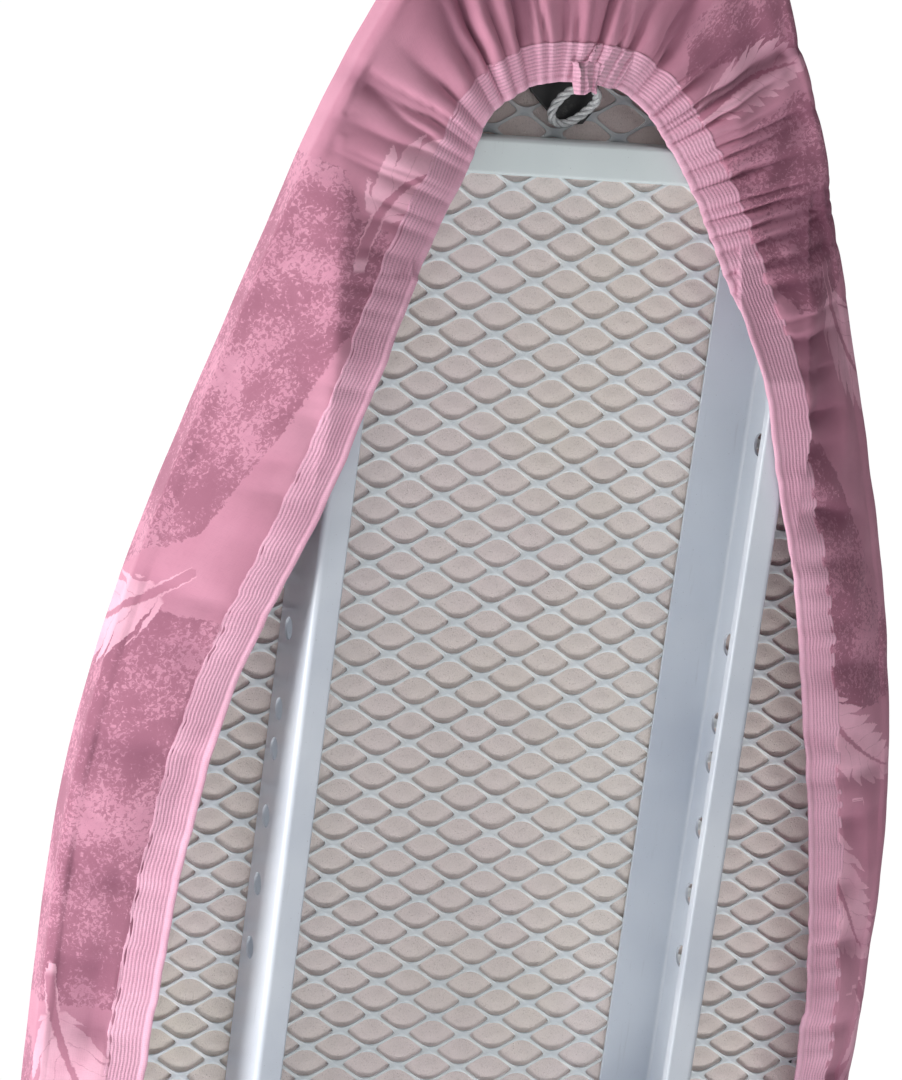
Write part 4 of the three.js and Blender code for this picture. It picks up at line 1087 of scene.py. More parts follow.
def dome_cap(name, node, side, rod_r):
    """Push-on cap: a domed cup with a rolled skirt."""
    a, b = lo(node), hi(node)
    x, z = (a[0] + b[0]) / 2, (a[2] + b[2]) / 2
    yi, yo = (a[1], b[1]) if side > 0 else (b[1], a[1])
    s = 1 if side > 0 else -1
    W = abs(yo - yi)
    R_ = 7.4
    out = [(0.0, rod_r + 0.25), (0.0, R_ - 0.5), (0.15, R_ - 0.1), (0.7, R_ + 0.0), (1.2, R_ - 0.25), (1.5, R_ - 0.8)]
    for k in range(1, 10):
        q = k / 9 * math.pi / 2
        out.append((1.5 + (W - 1.5) * math.sin(q), 0.35 + (R_ - 1.15) * math.cos(q)))
    inn = [(W - 0.9, 0.35), (W - 0.9, rod_r + 0.25)]
    prof = [(yi + s * d, r) for d, r in out + inn]
    ob = turned(name, prof, x, z, ZINC, n=48, slot="zinc_plate", closed=True, sharp=50)
    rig.ride(ob, frame["nodes"][node]["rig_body"])
    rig.replaces(ob, node)
    return ob


solid_rod("rear_pivot_rod", "tail_pivot_rod", 4.0, ZINC, "zinc_plate")
solid_rod("crossing_rod", "cross_pivot_rod", 4.0, ZINC, "zinc_plate")
for tag, side in (("left", 1), ("right", -1)):
    dome_cap("rear_pivot_cap_" + tag, "tail_pivot_cap_" + tag, side, 4.0)
    dome_cap("crossing_cap_" + tag, "cross_pivot_cap_" + tag, side, 4.0)
    ring_tube("rear_bush_" + tag, "tail_spacer_" + tag, 6.5, 4.25, NYLON, "grey_nylon")
    ring_tube("crossing_bush_" + tag, "cross_spacer_" + tag, 9.0, 4.25, NYLON, "grey_nylon")
    ring_tube("slider_bush_" + tag, "carriage_spacer_" + tag, 9.0, 6.3, NYLON, "grey_nylon")
ring_tube("rear_bush_middle", "tail_spacer_middle", 6.5, 4.25, NYLON, "grey_nylon")


def build_carriage_tube():
    a, b = lo("carriage_tube"), hi("carriage_tube")
    x, z = CARRP[0], PZ
    r, ri = 6.0, 3.8
    p = [(a[1], ri + .3), (a[1], r - .5), (a[1] + .5, r), (b[1] - .5, r), (b[1], r - .5), (b[1], ri + .3), (b[1] - .3, ri), (a[1] + .3, ri)]
    ob = turned("slider_tube", p, x, z, ZINC, n=48, slot="zinc_plate", closed=True)
    tools = []
    for k in (1, -1):
        y0, y1 = sorted((k * 19.0, k * 31.5))
        t = block("tool", x - 2.4, x + 2.4, y0, y1, z - 9, z - 1)
        t = bevel(t, 1.6, 4)
        tools.append(t)
    cut(ob, *tools)
    ob.data.materials.clear()
    ob.data.materials.append(ZINC)
    weighted(ob, 40)
    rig.ride(ob, "carriage")
    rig.replaces(ob, "carriage_tube")


build_carriage_tube()


def build_shoe(tag, side):
    node = "slider_shoe_" + tag
    a, b = lo(node), hi(node)
    x = CARRP[0]
    zt = ZM - 0.2 - 1.0 - 0.4
    zb, zf = ZM - 0.2 - 35 + 3.4 + 0.5, ZM - 0.2 - 35 + 1.0 + 0.4
    ys = sorted((side * 64.6, side * 82.1))
    b1 = block("shoe_a", x - 15, x + 15, ys[0], ys[1], zb, zt)
    y2 = sorted((side * 75.6, side * 81.2))
    b2 = block("shoe_b", x - 15, x + 15, y2[0], y2[1], zf, zb + 1)
    m = b1.modifiers.new("u", "BOOLEAN")
    m.operation, m.solver, m.object = "UNION", "EXACT", b2
    apply_mods(b1)
    bpy.data.objects.remove(b2)
    yb = sorted((side * 60, side * 77.9))
    yp = sorted((side * 70, side * 90))
    t1 = turned("tool", [(yb[0], 6.25), (yb[1], 6.25)], x, PZ, None, n=48)
    t2 = turned("tool", [(yp[0], 3.75), (yp[1], 3.75)], x, PZ, None, n=40)
    # shallow lightening pockets on the inner face
    t3 = block("tool", x - 12.2, x - 8.6, *sorted((side * 60, side * 66.4)), zb + 3, zt - 5)
    t4 = block("tool", x + 8.6, x + 12.2, *sorted((side * 60, side * 66.4)), zb + 3, zt - 5)
    cut(b1, t1, t2, t3, t4)
    for p in b1.data.polygons:
        p.use_smooth = False
    bevel(b1, 1.0, 3, 40)
    b1.data.materials.clear()
    b1.data.materials.append(NYLON)
    b1.name = "slider_block_" + tag
    weighted(b1, 40)
    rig.slot(b1, "grey_nylon")
    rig.ride(b1, "carriage")
    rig.replaces(b1, node)


build_shoe("left", 1)
build_shoe("right", -1)


def build_pin(tag, side):
    node = "lock_pin_" + tag
    x = CARRP[0]
    a = side * 16.0
    b = side * 82.0
    s = side
    p = [(a, 2.7), (a + s * .7, 3.4)] + [(a + s * d, 3.4) for d in (5, 20, 45, 62)] + [(b - s * 1.6, 3.4), (b - s * .5, 2.9), (b, 1.9)]
    rod = turned("pin_rod", p, x, PZ, ZINC, n=32, slot="zinc_plate")
    # finger grip: a pressed paddle with a rolled lip
    g0, g1 = sorted((side * 19.8, side * 22.8))
    zb, zt = PZ - 29.5, PZ - 8
    pts = [(-1.8, PZ - 1.5), (-1.8, zt), (-7, zt), (-8.5, zt - 1.5), (-8.5, zb + 5), (-5, zb + .8), (0, zb), (5, zb + .8), (8.5, zb + 5), (8.5, zt - 1.5), (7, zt), (1.8, zt), (1.8, PZ - 1.5)]
    pts = [(x + q, z) for q, z in pts]
    n = len(pts)
    V = [(q, g0, z) for q, z in pts] + [(q, g1, z) for q, z in pts]
    F = [tuple(range(n)), tuple(range(2 * n - 1, n - 1, -1))] + [(i, (i + 1) % n, n + (i + 1) % n, n + i) for i in range(n)]
    pad = fix_normals(make("pin_grip", V, F, ZINC, flat=True))
    # a dished thumb recess on each face
    t1 = turned("tool", [(g0 - 1, 6.6), (g0 + 0.7, 5.4)], x, (zb + zt) / 2, None, n=36)
    t2 = turned("tool", [(g1 - 0.7, 5.4), (g1 + 1, 6.6)], x, (zb + zt) / 2, None, n=36)
    cut(pad, t1, t2)
    for q in pad.data.polygons:
        q.use_smooth = False
    bevel(pad, 0.55, 3, 40)
    pad.data.materials.clear()
    pad.data.materials.append(ZINC)
    ob = join("pin_" + tag, [rod, pad])
    weighted(ob, 40)
    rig.ride(ob, node)
    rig.replaces(ob, node)


build_pin("left", 1)
build_pin("right", -1)

_t = np.linspace(0, 1, 260)
_turns = 6 * np.clip((_t - 0.06) / 0.88, 0, 1) + 0.9 * np.clip(_t / 0.06, 0, 1) + 0.9 * np.clip((_t - 0.94) / 0.06, 0, 1)
_y = -14.6 + 29.2 * _t
SPR = tube_path("pin_spring", np.stack([CARRP[0] + 2.6 * np.cos(_turns * TAU), _y, PZ + 2.6 * np.sin(_turns * TAU)], -1), 0.48, ZINC, n=10, slot="zinc_plate")
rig.ride(SPR, "carriage")
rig.replaces(SPR, "lock_spring")


# ------------------------------------------------------------------ leg frames
def build_leg(name, node, top, direction, y, rod_hole):
    body = frame["nodes"][node]["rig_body"]
    foot_z = 14.0
    L = 965.0
    A = math.asin((top[2] - foot_z) / L)
    ca, sa = math.cos(A), math.sin(A)
    e1 = np.array([direction * ca, 0, -sa])            # down the leg
    e2 = np.array([direction * sa, 0, ca])             # across it, in its plane
    ey = np.array([0, 1.0, 0])
    foot = top + e1 * L
    parts = []
    for k in (1, -1):
        c0 = np.array([top[0], k * y, top[2]])
        rings = []
        n = 44
        a = np.arange(n) / n * TAU
        rs = list(-9.4 * np.cos(np.linspace(0.12, math.pi / 2, 9))) + list(np.linspace(4, 26, 5)) + list(np.linspace(30, 62, 12)) + list(np.linspace(90, L - 4, 14))
        for r in rs:
            flat = step(62, 26, r)
            hw2 = 9.4 if r >= 0 else math.sqrt(max(9.4 ** 2 - r * r, 0.4))
            hn = hw2 * flat + 10.0 * (1 - flat)
            hy = 2.5 * flat + 10.0 * (1 - flat)
            ex = 2 + 5 * flat                           # squarer section where it is pressed flat
            cx, sy = np.cos(a), np.sin(a)
            u = np.sign(cx) * np.abs(cx) ** (2 / ex) * hn
            v = np.sign(sy) * np.abs(sy) ** (2 / ex) * hy
            if r < 0:
                v = v * (0.75 + 0.25 * (hw2 / 9.4))
            rings.append(c0 + e1 * r + u[:, None] * e2 + v[:, None] * ey)
        parts.append(loft("leg_tube", rings, PAINT, sharp=50, slot="white_paint"))
        # weld bead round the foot of the tube
        q = np.arange(72) / 72 * TAU
        fr = 11.0
        ring3 = []
        for t in q:
            u, v = 10.9 * math.cos(t), 10.9 * math.sin(t)
            d = math.sqrt(max(fr * fr - u * u, 4.0))
            w = 0.35 * (vnoise(t * 5.0, k * 3.0, 9) - 0.5)
            ring3.append(foot + ey * (k * y + v) + e2 * u * 1.0 - e1 * (d + 0.2 + w))
        rad = 1.55 + 0.45 * np.sin(q * 22) * 0.5 + 0.3 * (vnoise(q * 4, k * 1.0, 4) - 0.5)
        parts.append(tube_path("weld", ring3, rad, PAINT, n=10, closed=True, slot="white_paint"))
    bar = [(-165, 9.7), (-165, 10.6), (-164.5, 11), (-146, 11)] + [(t, 11) for t in np.linspace(-120, 120, 9)] + [(146, 11), (164.5, 11), (165, 10.6), (165, 9.7), (164.6, 9.6), (-164.6, 9.6)]
    parts.append(turned("foot_bar", bar, foot[0], foot[2], PAINT, n=48, slot="white_paint", closed=True))
    ob = join(name, parts)
    weighted(ob, 50)
    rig.ride(ob, body)
    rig.replaces(ob, node)
    return foot


FI = build_leg("inner_leg", "inner_leg_frame", TAILP, 1, 20.0, 4.35)
FO = build_leg("outer_leg", "outer_leg_frame", CARRP, -1, 46.0, 6.35)


def build_foot(node, side):
    a, b = lo(node), hi(node)
    x, z = (a[0] + b[0]) / 2, 14.0
    s = 1 if side > 0 else -1
    yi, yo = s * 148.0, s * 178.0
    R_ = 13.98
    pr = [(0, 11.3), (0, R_ - 1.1), (0.5, R_ - 0.35), (1.2, R_ - 0.1), (3.2, R_ - 0.1), (3.9, R_ - 0.9)]
    for c in (7.5, 11.5, 15.5, 19.5):
        pr += [(c - 1.5, R_ - 0.9), (c - 1.0, R_ - 0.15), (c - 0.6, R_), (c + 0.6, R_), (c + 1.0, R_ - 0.15), (c + 1.5, R_ - 0.9)]
    pr += [(22.6, R_ - 0.9), (23.2, R_ - 0.1), (25.5, R_)]
    for k in range(1, 9):
        q = k / 8 * math.pi / 2
        pr.append((25.5 + 4.5 * math.sin(q), R_ - 4.5 * (1 - math.cos(q))))
    pr += [(29.4, 6.0), (28.9, 5.2), (28.9, 0.4), (17.35, 0.4), (17.35, 11.3)]
    ob = turned(node.replace("_foot_cap_", "_rubber_foot_"), [(yi + s * d, r) for d, r in pr], x, z, RUBBER, n=72, sharp=45, slot="foot_rubber", closed=True)
    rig.ride(ob, frame["nodes"][node]["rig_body"])
    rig.replaces(ob, node)


for tag, side in (("left", 1), ("right", -1)):
    build_foot("inner_foot_cap_" + tag, side)
    build_foot("outer_foot_cap_" + tag, side)


# ------------------------------------------------------------------ printed pattern, in flat fabric mm
def seg_dist(A, B, P):
    d = B - A
    L = (d ** 2).sum(1) + 1e-12
    out = np.full(len(P), 1e9)
    for k in range(len(A)):
        t = np.clip(((P - A[k]) @ d[k]) / L[k], 0, 1)
        out = np.minimum(out, ((P - A[k] - t[:, None] * d[k]) ** 2).sum(1))
    return np.sqrt(out)


def poly_sdf(poly, P):
    """Signed distance, positive inside."""
    A, B = poly, np.roll(poly, -1, 0)
    dist = seg_dist(A, B, P)
    ins = np.zeros(len(P), bool)
    for a, b in zip(A, B):
        if a[1] == b[1]:
            continue
        cond = (a[1] > P[:, 1]) != (b[1] > P[:, 1])
        xi = (b[0] - a[0]) * (P[:, 1] - a[1]) / (b[1] - a[1]) + a[0]
        ins ^= cond & (P[:, 0] < xi)
    return np.where(ins, dist, -dist)


# (x, y, direction, length, half width, curvature, lobes, stem)
LEAVES = [
    (440, -144, 12, 62, 16, -0.020, 8, 20), (290, -170, 146, 66, 17, -0.010, 8, 12),
    (512, 134, -105, 46, 13, -0.012, 7, 8), (412, 134, 170, 56, 14, 0.012, 7, 10),
    (268, 208, -160, 60, 15, 0.014, 8, 10), (122, -182, 196, 62, 16, 0.010, 8, 16),
    (206, 206, 188, 64, 14, 0.010, 8, 10), (128, 176, 205, 60, 15, -0.012, 8, 10),
    (330, 20, 35, 70, 18, 0.010, 9, 16), (440, 40, 205, 62, 16, -0.010, 8, 14), (190, -40, 120, 72, 18, 0.009, 9, 16),
    (150, 100, -20, 66, 17, -0.010, 8, 14), (30, -110, 60, 70, 18, 0.010, 9, 16), (-20, 60, 200, 72, 18, 0.010, 9, 16),
    (-120, -50, 20, 70, 17, -0.010, 8, 14), (-170, 120, -35, 66, 17, 0.011, 8, 14), (-260, 10, 150, 72, 18, 0.009, 9, 16),
    (-300, -130, 75, 66, 17, -0.010, 8, 14), (-380, 70, 10, 70, 18, 0.010, 9, 16), (-440, -70, 215, 66, 17, -0.010, 8, 14),
    (-480, 130, -60, 60, 15, 0.010, 8, 12), (-70, -190, 12, 62, 15, -0.010, 8, 12), (-220, 205, 175, 62, 15, 0.010, 8, 12),
    (-400, -195, 20, 60, 15, 0.010, 8, 12), (0, 195, 0, 62, 15, 0.012, 8, 12), (-590, 10, 110, 60, 15, 0.010, 8, 12),
]
PATCHES = [
    [(436, -92), (447, -124), (437, -139), (439, -152), (409, -165), (361, -171), (316, -171), (287, -145), (322, -104), (392, -84)],
    [(283, -170), (287, -197), (256, -203), (217, -211), (126, -211), (125, -150), (132, -112), (238, -118), (266, -147)],
    [(487, 131), (484, 104), (456, 100), (414, 116), (408, 140), (416, 155), (446, 156), (474, 151)],
    [(374, 180), (366, 172), (281, 160), (258, 152), (256, 178), (262, 206), (285, 214), (312, 204)],
    [(566, 104), (540, 82), (500, 74), (484, 82), (496, 104), (515, 113), (538, 128)],
    [(420, -40), (446, 10), (330, 78), (300, 22)], [(250, -60), (282, -14), (172, 62), (138, 12)],
    [(238, 96), (262, 140), (176, 168), (158, 122)], [(90, -160), (120, -106), (10, -40), (-22, -96)],
    [(70, 20), (102, 72), (-12, 132), (-42, 78)], [(-60, -130), (-30, -76), (-150, -6), (-182, -62)],
    [(-110, 50), (-78, 100), (-190, 166), (-222, 112)], [(-250, -110), (-218, -56), (-330, 8), (-362, -46)],
    [(-300, 60), (-268, 112), (-380, 172), (-410, 120)], [(-430, -120), (-396, -66), (-500, -6), (-534, -62)],
    [(-470, 40), (-440, 92), (-556, 150), (-590, 96)], [(20, 150), (60, 204), (-60, 214), (-84, 168)],
    [(-150, -150), (-120, -210), (-250, -214), (-262, -164)], [(-330, 176), (-300, 214), (-420, 214), (-436, 176)],
    [(-440, -150), (-420, -210), (-530, -206), (-540, -150)], [(40, -156), (30, -212), (-20, -214), (-30, -160)],
]


def print_fields(fab):
    """lf: place on the nearest leaf (along / length, across / half width, number); patch: signed distance to the patches, mm."""
    n = len(fab)
    lf = np.full((n, 3), 900.0)
    best = np.full(n, 1e9)
    patch = np.full(n, -30.0)
    for k, (x, y, ang, L, W, c, lobes, stem) in enumerate(LEAVES):
        ca, sa = math.cos(math.radians(ang)), math.sin(math.radians(ang))
        u = (fab[:, 0] - x) * ca + (fab[:, 1] - y) * sa
        v = -(fab[:, 0] - x) * sa + (fab[:, 1] - y) * ca
        R0 = 1 / c
        sg = math.copysign(1, R0)
        p = np.arctan2(u * sg, (R0 - v) * sg) * R0
        q = R0 - sg * np.hypot(u, R0 - v)
        P_, Q_ = p / L, q / W
        d = np.hypot(np.maximum(np.abs(p - (L - stem) / 2) - (L + stem) / 2, 0), np.maximum(np.abs(q) - W * 1.08, 0))
        far = d > 3.2
        f = np.where(far, 400.0, 1.0)
        val = np.stack([(P_ - 0.5) * f + 0.5, Q_ * f, np.full(n, k * 1.0)], 1)
        m = d < best
        lf[m] = val[m]
        best = np.minimum(best, d)
    for k, poly in enumerate(PATCHES):
        q = np.array(poly, float)
        if k > 4:                                  # the broad patches of the top
            q = q.mean(0) + (q - q.mean(0)) * 1.32
        lo_, hi_ = q.min(0) - 30, q.max(0) + 30
        m = np.where(((fab > lo_) & (fab < hi_)).all(1))[0]
        if len(m):
            patch[m] = np.maximum(patch[m], poly_sdf(q, fab[m]))
    return lf, patch


# ------------------------------------------------------------------ cover: columns round the ring, rows from elastic to the middle of the top
s_e = XN - FINE[:, 2]
colden = np.where(s_e < 135, 1.25, np.where(s_e < 200, 0.8, 0.42))
colden = np.where(s_e > 940, 0.62, colden)
_ds = np.diff(AE) / np.diff(AO)
COLS, CO, CE = resample(np.where(s_e < 200, colden * np.clip(_ds, 0.25, 3.0) * 1.35, colden))
NC = len(COLS)
O2, E2 = COLS[:, :2], COLS[:, 2:]
N2 = normals2(O2)
TOTE = AE[-1]
A_SIGN = np.where(CE > TOTE / 2, CE - TOTE, CE)          # mm along the elastic from its front middle
_front = A_SIGN[np.argmin(np.abs(E2[:, 1] + 4) + 1e3 * (E2[:, 0] < 300))]
AEL = A_SIGN - _front


def gap_at(a):
    a = abs(a)
    tail0 = TOTE / 2 - 240
    if a < 45:
        return 4.6, 1.0
    if a < 130:
        k = (a - 45) / 85
        return 4.6 + 6.4 * k, 1.0 - 0.45 * k
    if a < 230:
        k = (a - 130) / 100
        return 11 + 9 * k, 0.5 - 0.28 * k
    if a < tail0:
        return 25.0, 0.16
    if a < TOTE / 2 - 85:
        return 8.5, 0.62
    return 13.0, 0.25


def side_of(a):
    """+1 where a runs to the right of the front middle, -1 to the left."""
    k = int(np.argmin(np.abs(AEL - math.copysign(120, a))))
    return 1 if E2[k, 1] > 0 else -1


RIGHT = {1: side_of(1), -1: side_of(-1)}


def grooves():
    out = []
    for sgn in (1, -1):
        a = 0.0 if sgn > 0 else -RNG.uniform(3, 5)
        while abs(a) < TOTE / 2 - 6:
            g, amp = gap_at(a)
            if RIGHT[sgn] < 0:                      # the left shoulder is stretched nearly smooth
                amp *= float(np.interp(abs(a), [0, 30, 58, 110, 200, 400, 900], [1, 1, 0.24, 0.11, 0.3, 0.8, 1]))
            else:
                amp *= float(np.interp(abs(a), [0, 90, 130, 200, 300], [1, 1, 0.8, 0.55, 1]))
            wgap = g * RNG.uniform(0.55, 1.6)
            d = min(0.98 * wgap * amp * RNG.uniform(0.45, 1.35), 5.6)
            L_ = RNG.uniform(48, 110) * (0.35 + 0.65 * amp)
            if RNG.rand() < 0.34:
                L_ *= 0.42
            out.append((a, d, wgap * RNG.uniform(0.09, 0.16), L_, RNG.uniform(-0.07, 0.07) * (1 if amp > 0.4 else 2.2), RNG.uniform(-0.55, 0.55)))
            a += sgn * wgap
    return out


GROOVES = grooves()


def pleat(a, r):
    """How far the cloth stands out, mm, at a along the elastic and r outward from the band's outer edge."""
    a = a + 1.4 * (vnoise(a / 9, r / 14, 21) - 0.5) * np.clip(r / 12, 0, 1)
    Hh = np.zeros(np.broadcast(a, r).shape)
    for p, d, w, L_, lean, skew in GROOVES:
        near = np.abs(a - p) < 28
        if not near.any():
            continue
        rr = np.clip(r, 0, None)
        fall = np.where(r < 0, 0.34 + 0.42 * np.clip((r + 14.5) / 14.5, 0, 1), np.clip(1 - rr / (L_ * 1.3), 0, 1) ** 0.9 * (0.76 + 0.38 * np.clip(rr / 6, 0, 1)) + 0.05 * np.exp(-rr / 60))
        ww = w * (1 + 1.9 * np.clip(rr / L_, 0, 1.6)) * np.where(r < 0, 1.25, 1.0)
        dx = a - p - lean * rr
        x = np.abs(dx) * np.where(dx > 0, 1 + skew, 1 - skew)      # one side of a crease is steeper
        notch = np.exp(-x / ww) * 0.62 + np.exp(-(x / (ww * 2.2)) ** 2) * 0.38
        Hh -= d * fall * notch * near
    # broad puff beside the band
    amp = np.interp(np.abs(a), [0, 60, 150, 260, TOTE / 2 - 240, TOTE / 2 - 180, TOTE / 2 - 60, TOTE / 2], [1, 0.9, 0.5, 0.15, 0.15, 0.6, 0.35, 0.2])
    Hh += amp * 1.7 * np.exp(-((r - 8) / 14) ** 2)
    return np.maximum(Hh, -7.5)


def folds(a, r, xy):
    """Soft, wide folds in the cloth away from the gathers, mm."""
    x, y = xy[..., 0], xy[..., 1]
    right = step(20, 60, y)
    env = np.interp(XN - x, [0, 40, 90, 240, 330, 400, 500, 800, 1100], [0.2, 0.7, 1.0, 0.9, 0.5, 0.9, 1.0, 0.7, 0.6])
    wob = 9 * (vnoise(x / 60, y / 60, 31) - 0.5)
    diag = np.sin((a + 1.15 * r + wob) / 24 * TAU)
    diag = np.sign(diag) * np.abs(diag) ** 1.3
    F_ = right * env * (0.62 * diag + 0.55 * np.sin((a - 0.4 * r + 2.2 * wob) / 41 * TAU)) * np.clip(r / 8, 0, 1) * (0.55 + 0.9 * vnoise(x / 45, y / 45, 36))
    F_ += 1.2 * (vnoise(x / 46, y / 46, 33) - 0.5) + 0.5 * (vnoise(x / 17, y / 17, 34) - 0.5)
    F_ += (1 - right) * 0.35 * np.sin((a + 0.5 * r + wob) / 33 * TAU)
    return F_


BAND = 14.5
B_IN, B_Z = 4.5, ZM - 13.7
bxy = O2 - N2 * B_IN
flat_v = bxy - E2
SPAN = np.linalg.norm(flat_v, axis=1)
FDIR = flat_v / SPAN[:, None]
EZ = ZM - np.interp(XN - E2[:, 0], *HEM)


def skirt_z(d, xy):
    """Height of the stretched skirt at d in from the elastic's free edge: d (rows, cols), xy (rows, cols, 2)."""
    k = np.clip(d / SPAN[None], -0.2, 1)
    z = EZ[None] + (B_Z - EZ[None]) * np.sign(k) * k * k
    s, ay = XN - xy[..., 0], np.abs(xy[..., 1])
    zr = ZM - 0.2 - np.interp(s, *TAPER) - 2.6
    on = (s > 106) & (s < 1058) & (ay > 58)
    yb = np.maximum(np.abs(bxy[None, :, 1]), 89.5)
    over = np.clip((ay - 88.0) / (yb - 88.0), 0, 1)
    tent = np.where(ay < 88.0, zr, zr + (B_Z - zr) * over)
    soft = np.where(on, np.minimum(z, tent), z)
    return soft


def blur(Z, rr, cc):
    for _ in range(cc):
        Z = 0.25 * np.roll(Z, 1, 1) + 0.5 * Z + 0.25 * np.roll(Z, -1, 1)
    for _ in range(rr):
        M = Z.copy()
        M[1:-1] = 0.25 * Z[:-2] + 0.5 * Z[1:-1] + 0.25 * Z[2:]
        Z = M
    return Z


def build_cover():
    rows_xyz, rows_fab, rows_r, rows_nrm = [], [], [], []
    # skirt, from under the band out to the lower corner of the edge
    nsk = 30
    q = np.linspace(0, 1, nsk)[:, None]
    edge_w = 0.9 * (vnoise(AEL / 7.0, 0, 41) - 0.5) + 0.5 * (vnoise(AEL / 2.6, 3, 42) - 0.5)
    d0 = BAND - 1.6 + edge_w
    D = d0[None] + (SPAN - d0)[None] * q
    xy = E2[None] + FDIR[None] * D[..., None]
    Z = blur(skirt_z(D, xy), 3, 10)
    wz = smooth((q - 0.5) / 0.22)                        # the cloth rounds off into the lower corner
    Z = Z * (1 - wz) + blur(Z, 22, 0) * wz
    r = D - BAND
    Hh = pleat(np.broadcast_to(AEL, D.shape), r)
    fo = folds(np.broadcast_to(AEL, D.shape), r, xy) * np.clip((D - BAND) / 10, 0, 1) * np.clip((SPAN[None] - D) / 7, 0.25, 1)
    sag = -0.8 * np.sin(np.pi * np.clip(D / SPAN[None], 0, 1))
    path = np.sqrt(np.diff(D, axis=0) ** 2 + np.diff(Z, axis=0) ** 2)
    run = np.concatenate([np.zeros((1, NC)), np.cumsum(path, 0)])
    dist_b = run[-1][None] - run                        # along the cloth from the lower corner
    zz = Z + sag - Hh - fo + 0.1
    # the cloth stays below what it passes over: rim, front bar and rails
    inset = SPAN[None] - D + B_IN
    sx, ay = XN - xy[..., 0], np.abs(xy[..., 1])
    cap = np.full(zz.shape, ZM - 0.9)
    cap = np.minimum(cap, np.interp(inset, [6.5, 10.0], [ZM - 11.9, ZM - 2.0]))
    cap = np.where((sx > 97) & (sx < 120) & (ay < 97), np.minimum(cap, ZM - 13.1), cap)
    rl = ZM - 0.2 - np.interp(sx, *TAPER) - 1.3
    wr = np.clip(np.minimum(ay - 59.5, 88.5 - ay) / 1.5, 0, 1) * ((sx > 104) & (sx < 1060))
    cap = np.minimum(cap, cap * (1 - wr) + rl * wr)
    zz = cap - np.logaddexp(0, (cap - zz) * 2.2) / 2.2
    P = np.stack([xy[..., 0], xy[..., 1], zz], -1)
    FAB0 = 21.2
    fab = O2[None] + N2[None] * (FAB0 + dist_b)[..., None]
    # edge: lower corner, wall, upper corner
    sec = []
    for k in range(1, 7):                                # lower corner, radius 4.5
        t = k / 6 * math.pi / 2
        sec.append((B_IN * (1 - math.sin(t)), B_Z + 4.2 * (1 - math.cos(t))))
    zt, rt = ZTOP, 5.2
    zl = B_Z + 4.2
    for k in range(1, 4):
        sec.append((0.25 * math.sin(math.pi * k / 4), zl + (zt - rt - zl) * k / 4))
    sec.append((0.0, zt - rt))
    for k in range(1, 8):
        t = k / 7 * math.pi / 2
        sec.append((rt * (1 - math.cos(t)), zt - rt + rt * math.sin(t)))
    sec = np.array(sec)
    prev = np.array([[B_IN, B_Z]])
    seg = np.linalg.norm(np.diff(np.vstack([prev, sec]), axis=0), axis=1)
    back = FAB0 - np.cumsum(seg) * (FAB0 + rt) / seg.sum()
    ns = len(sec)
    Pe = np.empty((ns, NC, 3))
    edge_r = (SPAN - BAND)[None] + np.cumsum(seg)[:, None]
    Hp = pleat(np.broadcast_to(AEL, (ns, NC)), edge_r)
    fo2 = folds(np.broadcast_to(AEL, (ns, NC)), edge_r, np.broadcast_to(O2, (ns, NC, 2)))
    fade = np.linspace(1, 0.0, ns)[:, None] ** 0.8
    lie = np.clip((B_Z - Z[-5]) / (SPAN - D[-5]), 0, 0.8)     # slope at which the skirt leaves the lower corner
    for i, (ins, z) in enumerate(sec):
        t = math.pi / 2 * min(1, (i + 1) / 6)
        if i < 6:
            z = B_Z + (4.2 - B_IN * lie) * (1 - math.cos(t)) + lie * (B_IN - ins)
        nx, nz = (math.sin(t), -math.cos(t)) if i < 6 else (1, 0)
        if i >= 10:
            t2 = (i - 9) / 7 * math.pi / 2
            nx, nz = math.cos(t2), math.sin(t2)
        h = (Hp[i] * 0.30 + 0.22 * fo2[i]) * fade[i]
        h = np.minimum(h, 1.2)
        Pe[i, :, :2] = O2 - N2 * (ins - nx * h)[:, None]
        Pe[i, :, 2] = z + nz * h
    fabe = O2[None] + N2[None] * back[:, None, None]
    # top: rows drawn in towards the middle line
    inner = O2 - N2 * rt
    ks = 1 - np.linspace(0, 1, 62)[1:] ** 1.0
    Pt = np.empty((len(ks), NC, 3))
    x0, x1 = XN - 34.0, XN - LEN + 30
    for i, k in enumerate(ks):
        xk = inner[:, 0]
        xx = np.clip(xk, x1, x0)
        xq = xk + (xx - xk) * (1 - k) ** 1.2
        Pt[i, :, 0], Pt[i, :, 1] = xq, inner[:, 1] * k
    xg, yg = Pt[..., 0], Pt[..., 1]
    e = np.clip((1 - ks[:, None]) * 12, 0, 1)
    und = 0.9 * (vnoise(xg / 70, yg / 55, 51) - 0.5) + 0.5 * (vnoise(xg / 24 + yg / 60, yg / 30, 52) - 0.5) + 0.18 * (vnoise(xg / 7, yg / 9, 53) - 0.5)
    rid = np.abs(vnoise(xg / 90 + 3, yg / 38 + xg / 240, 54) - 0.5)
    und += 0.75 * np.exp(-(rid / 0.035) ** 2) * (vnoise(xg / 60, yg / 60, 55))
    und -= 0.25 * cellwave(XN - xg, yg) * 0.25
    Pt[..., 2] = ZTOP + smooth(e) * und
    V = np.concatenate([P, Pe, Pt], 0)
    fb = np.concatenate([fab, fabe, Pt[..., :2]], 0)
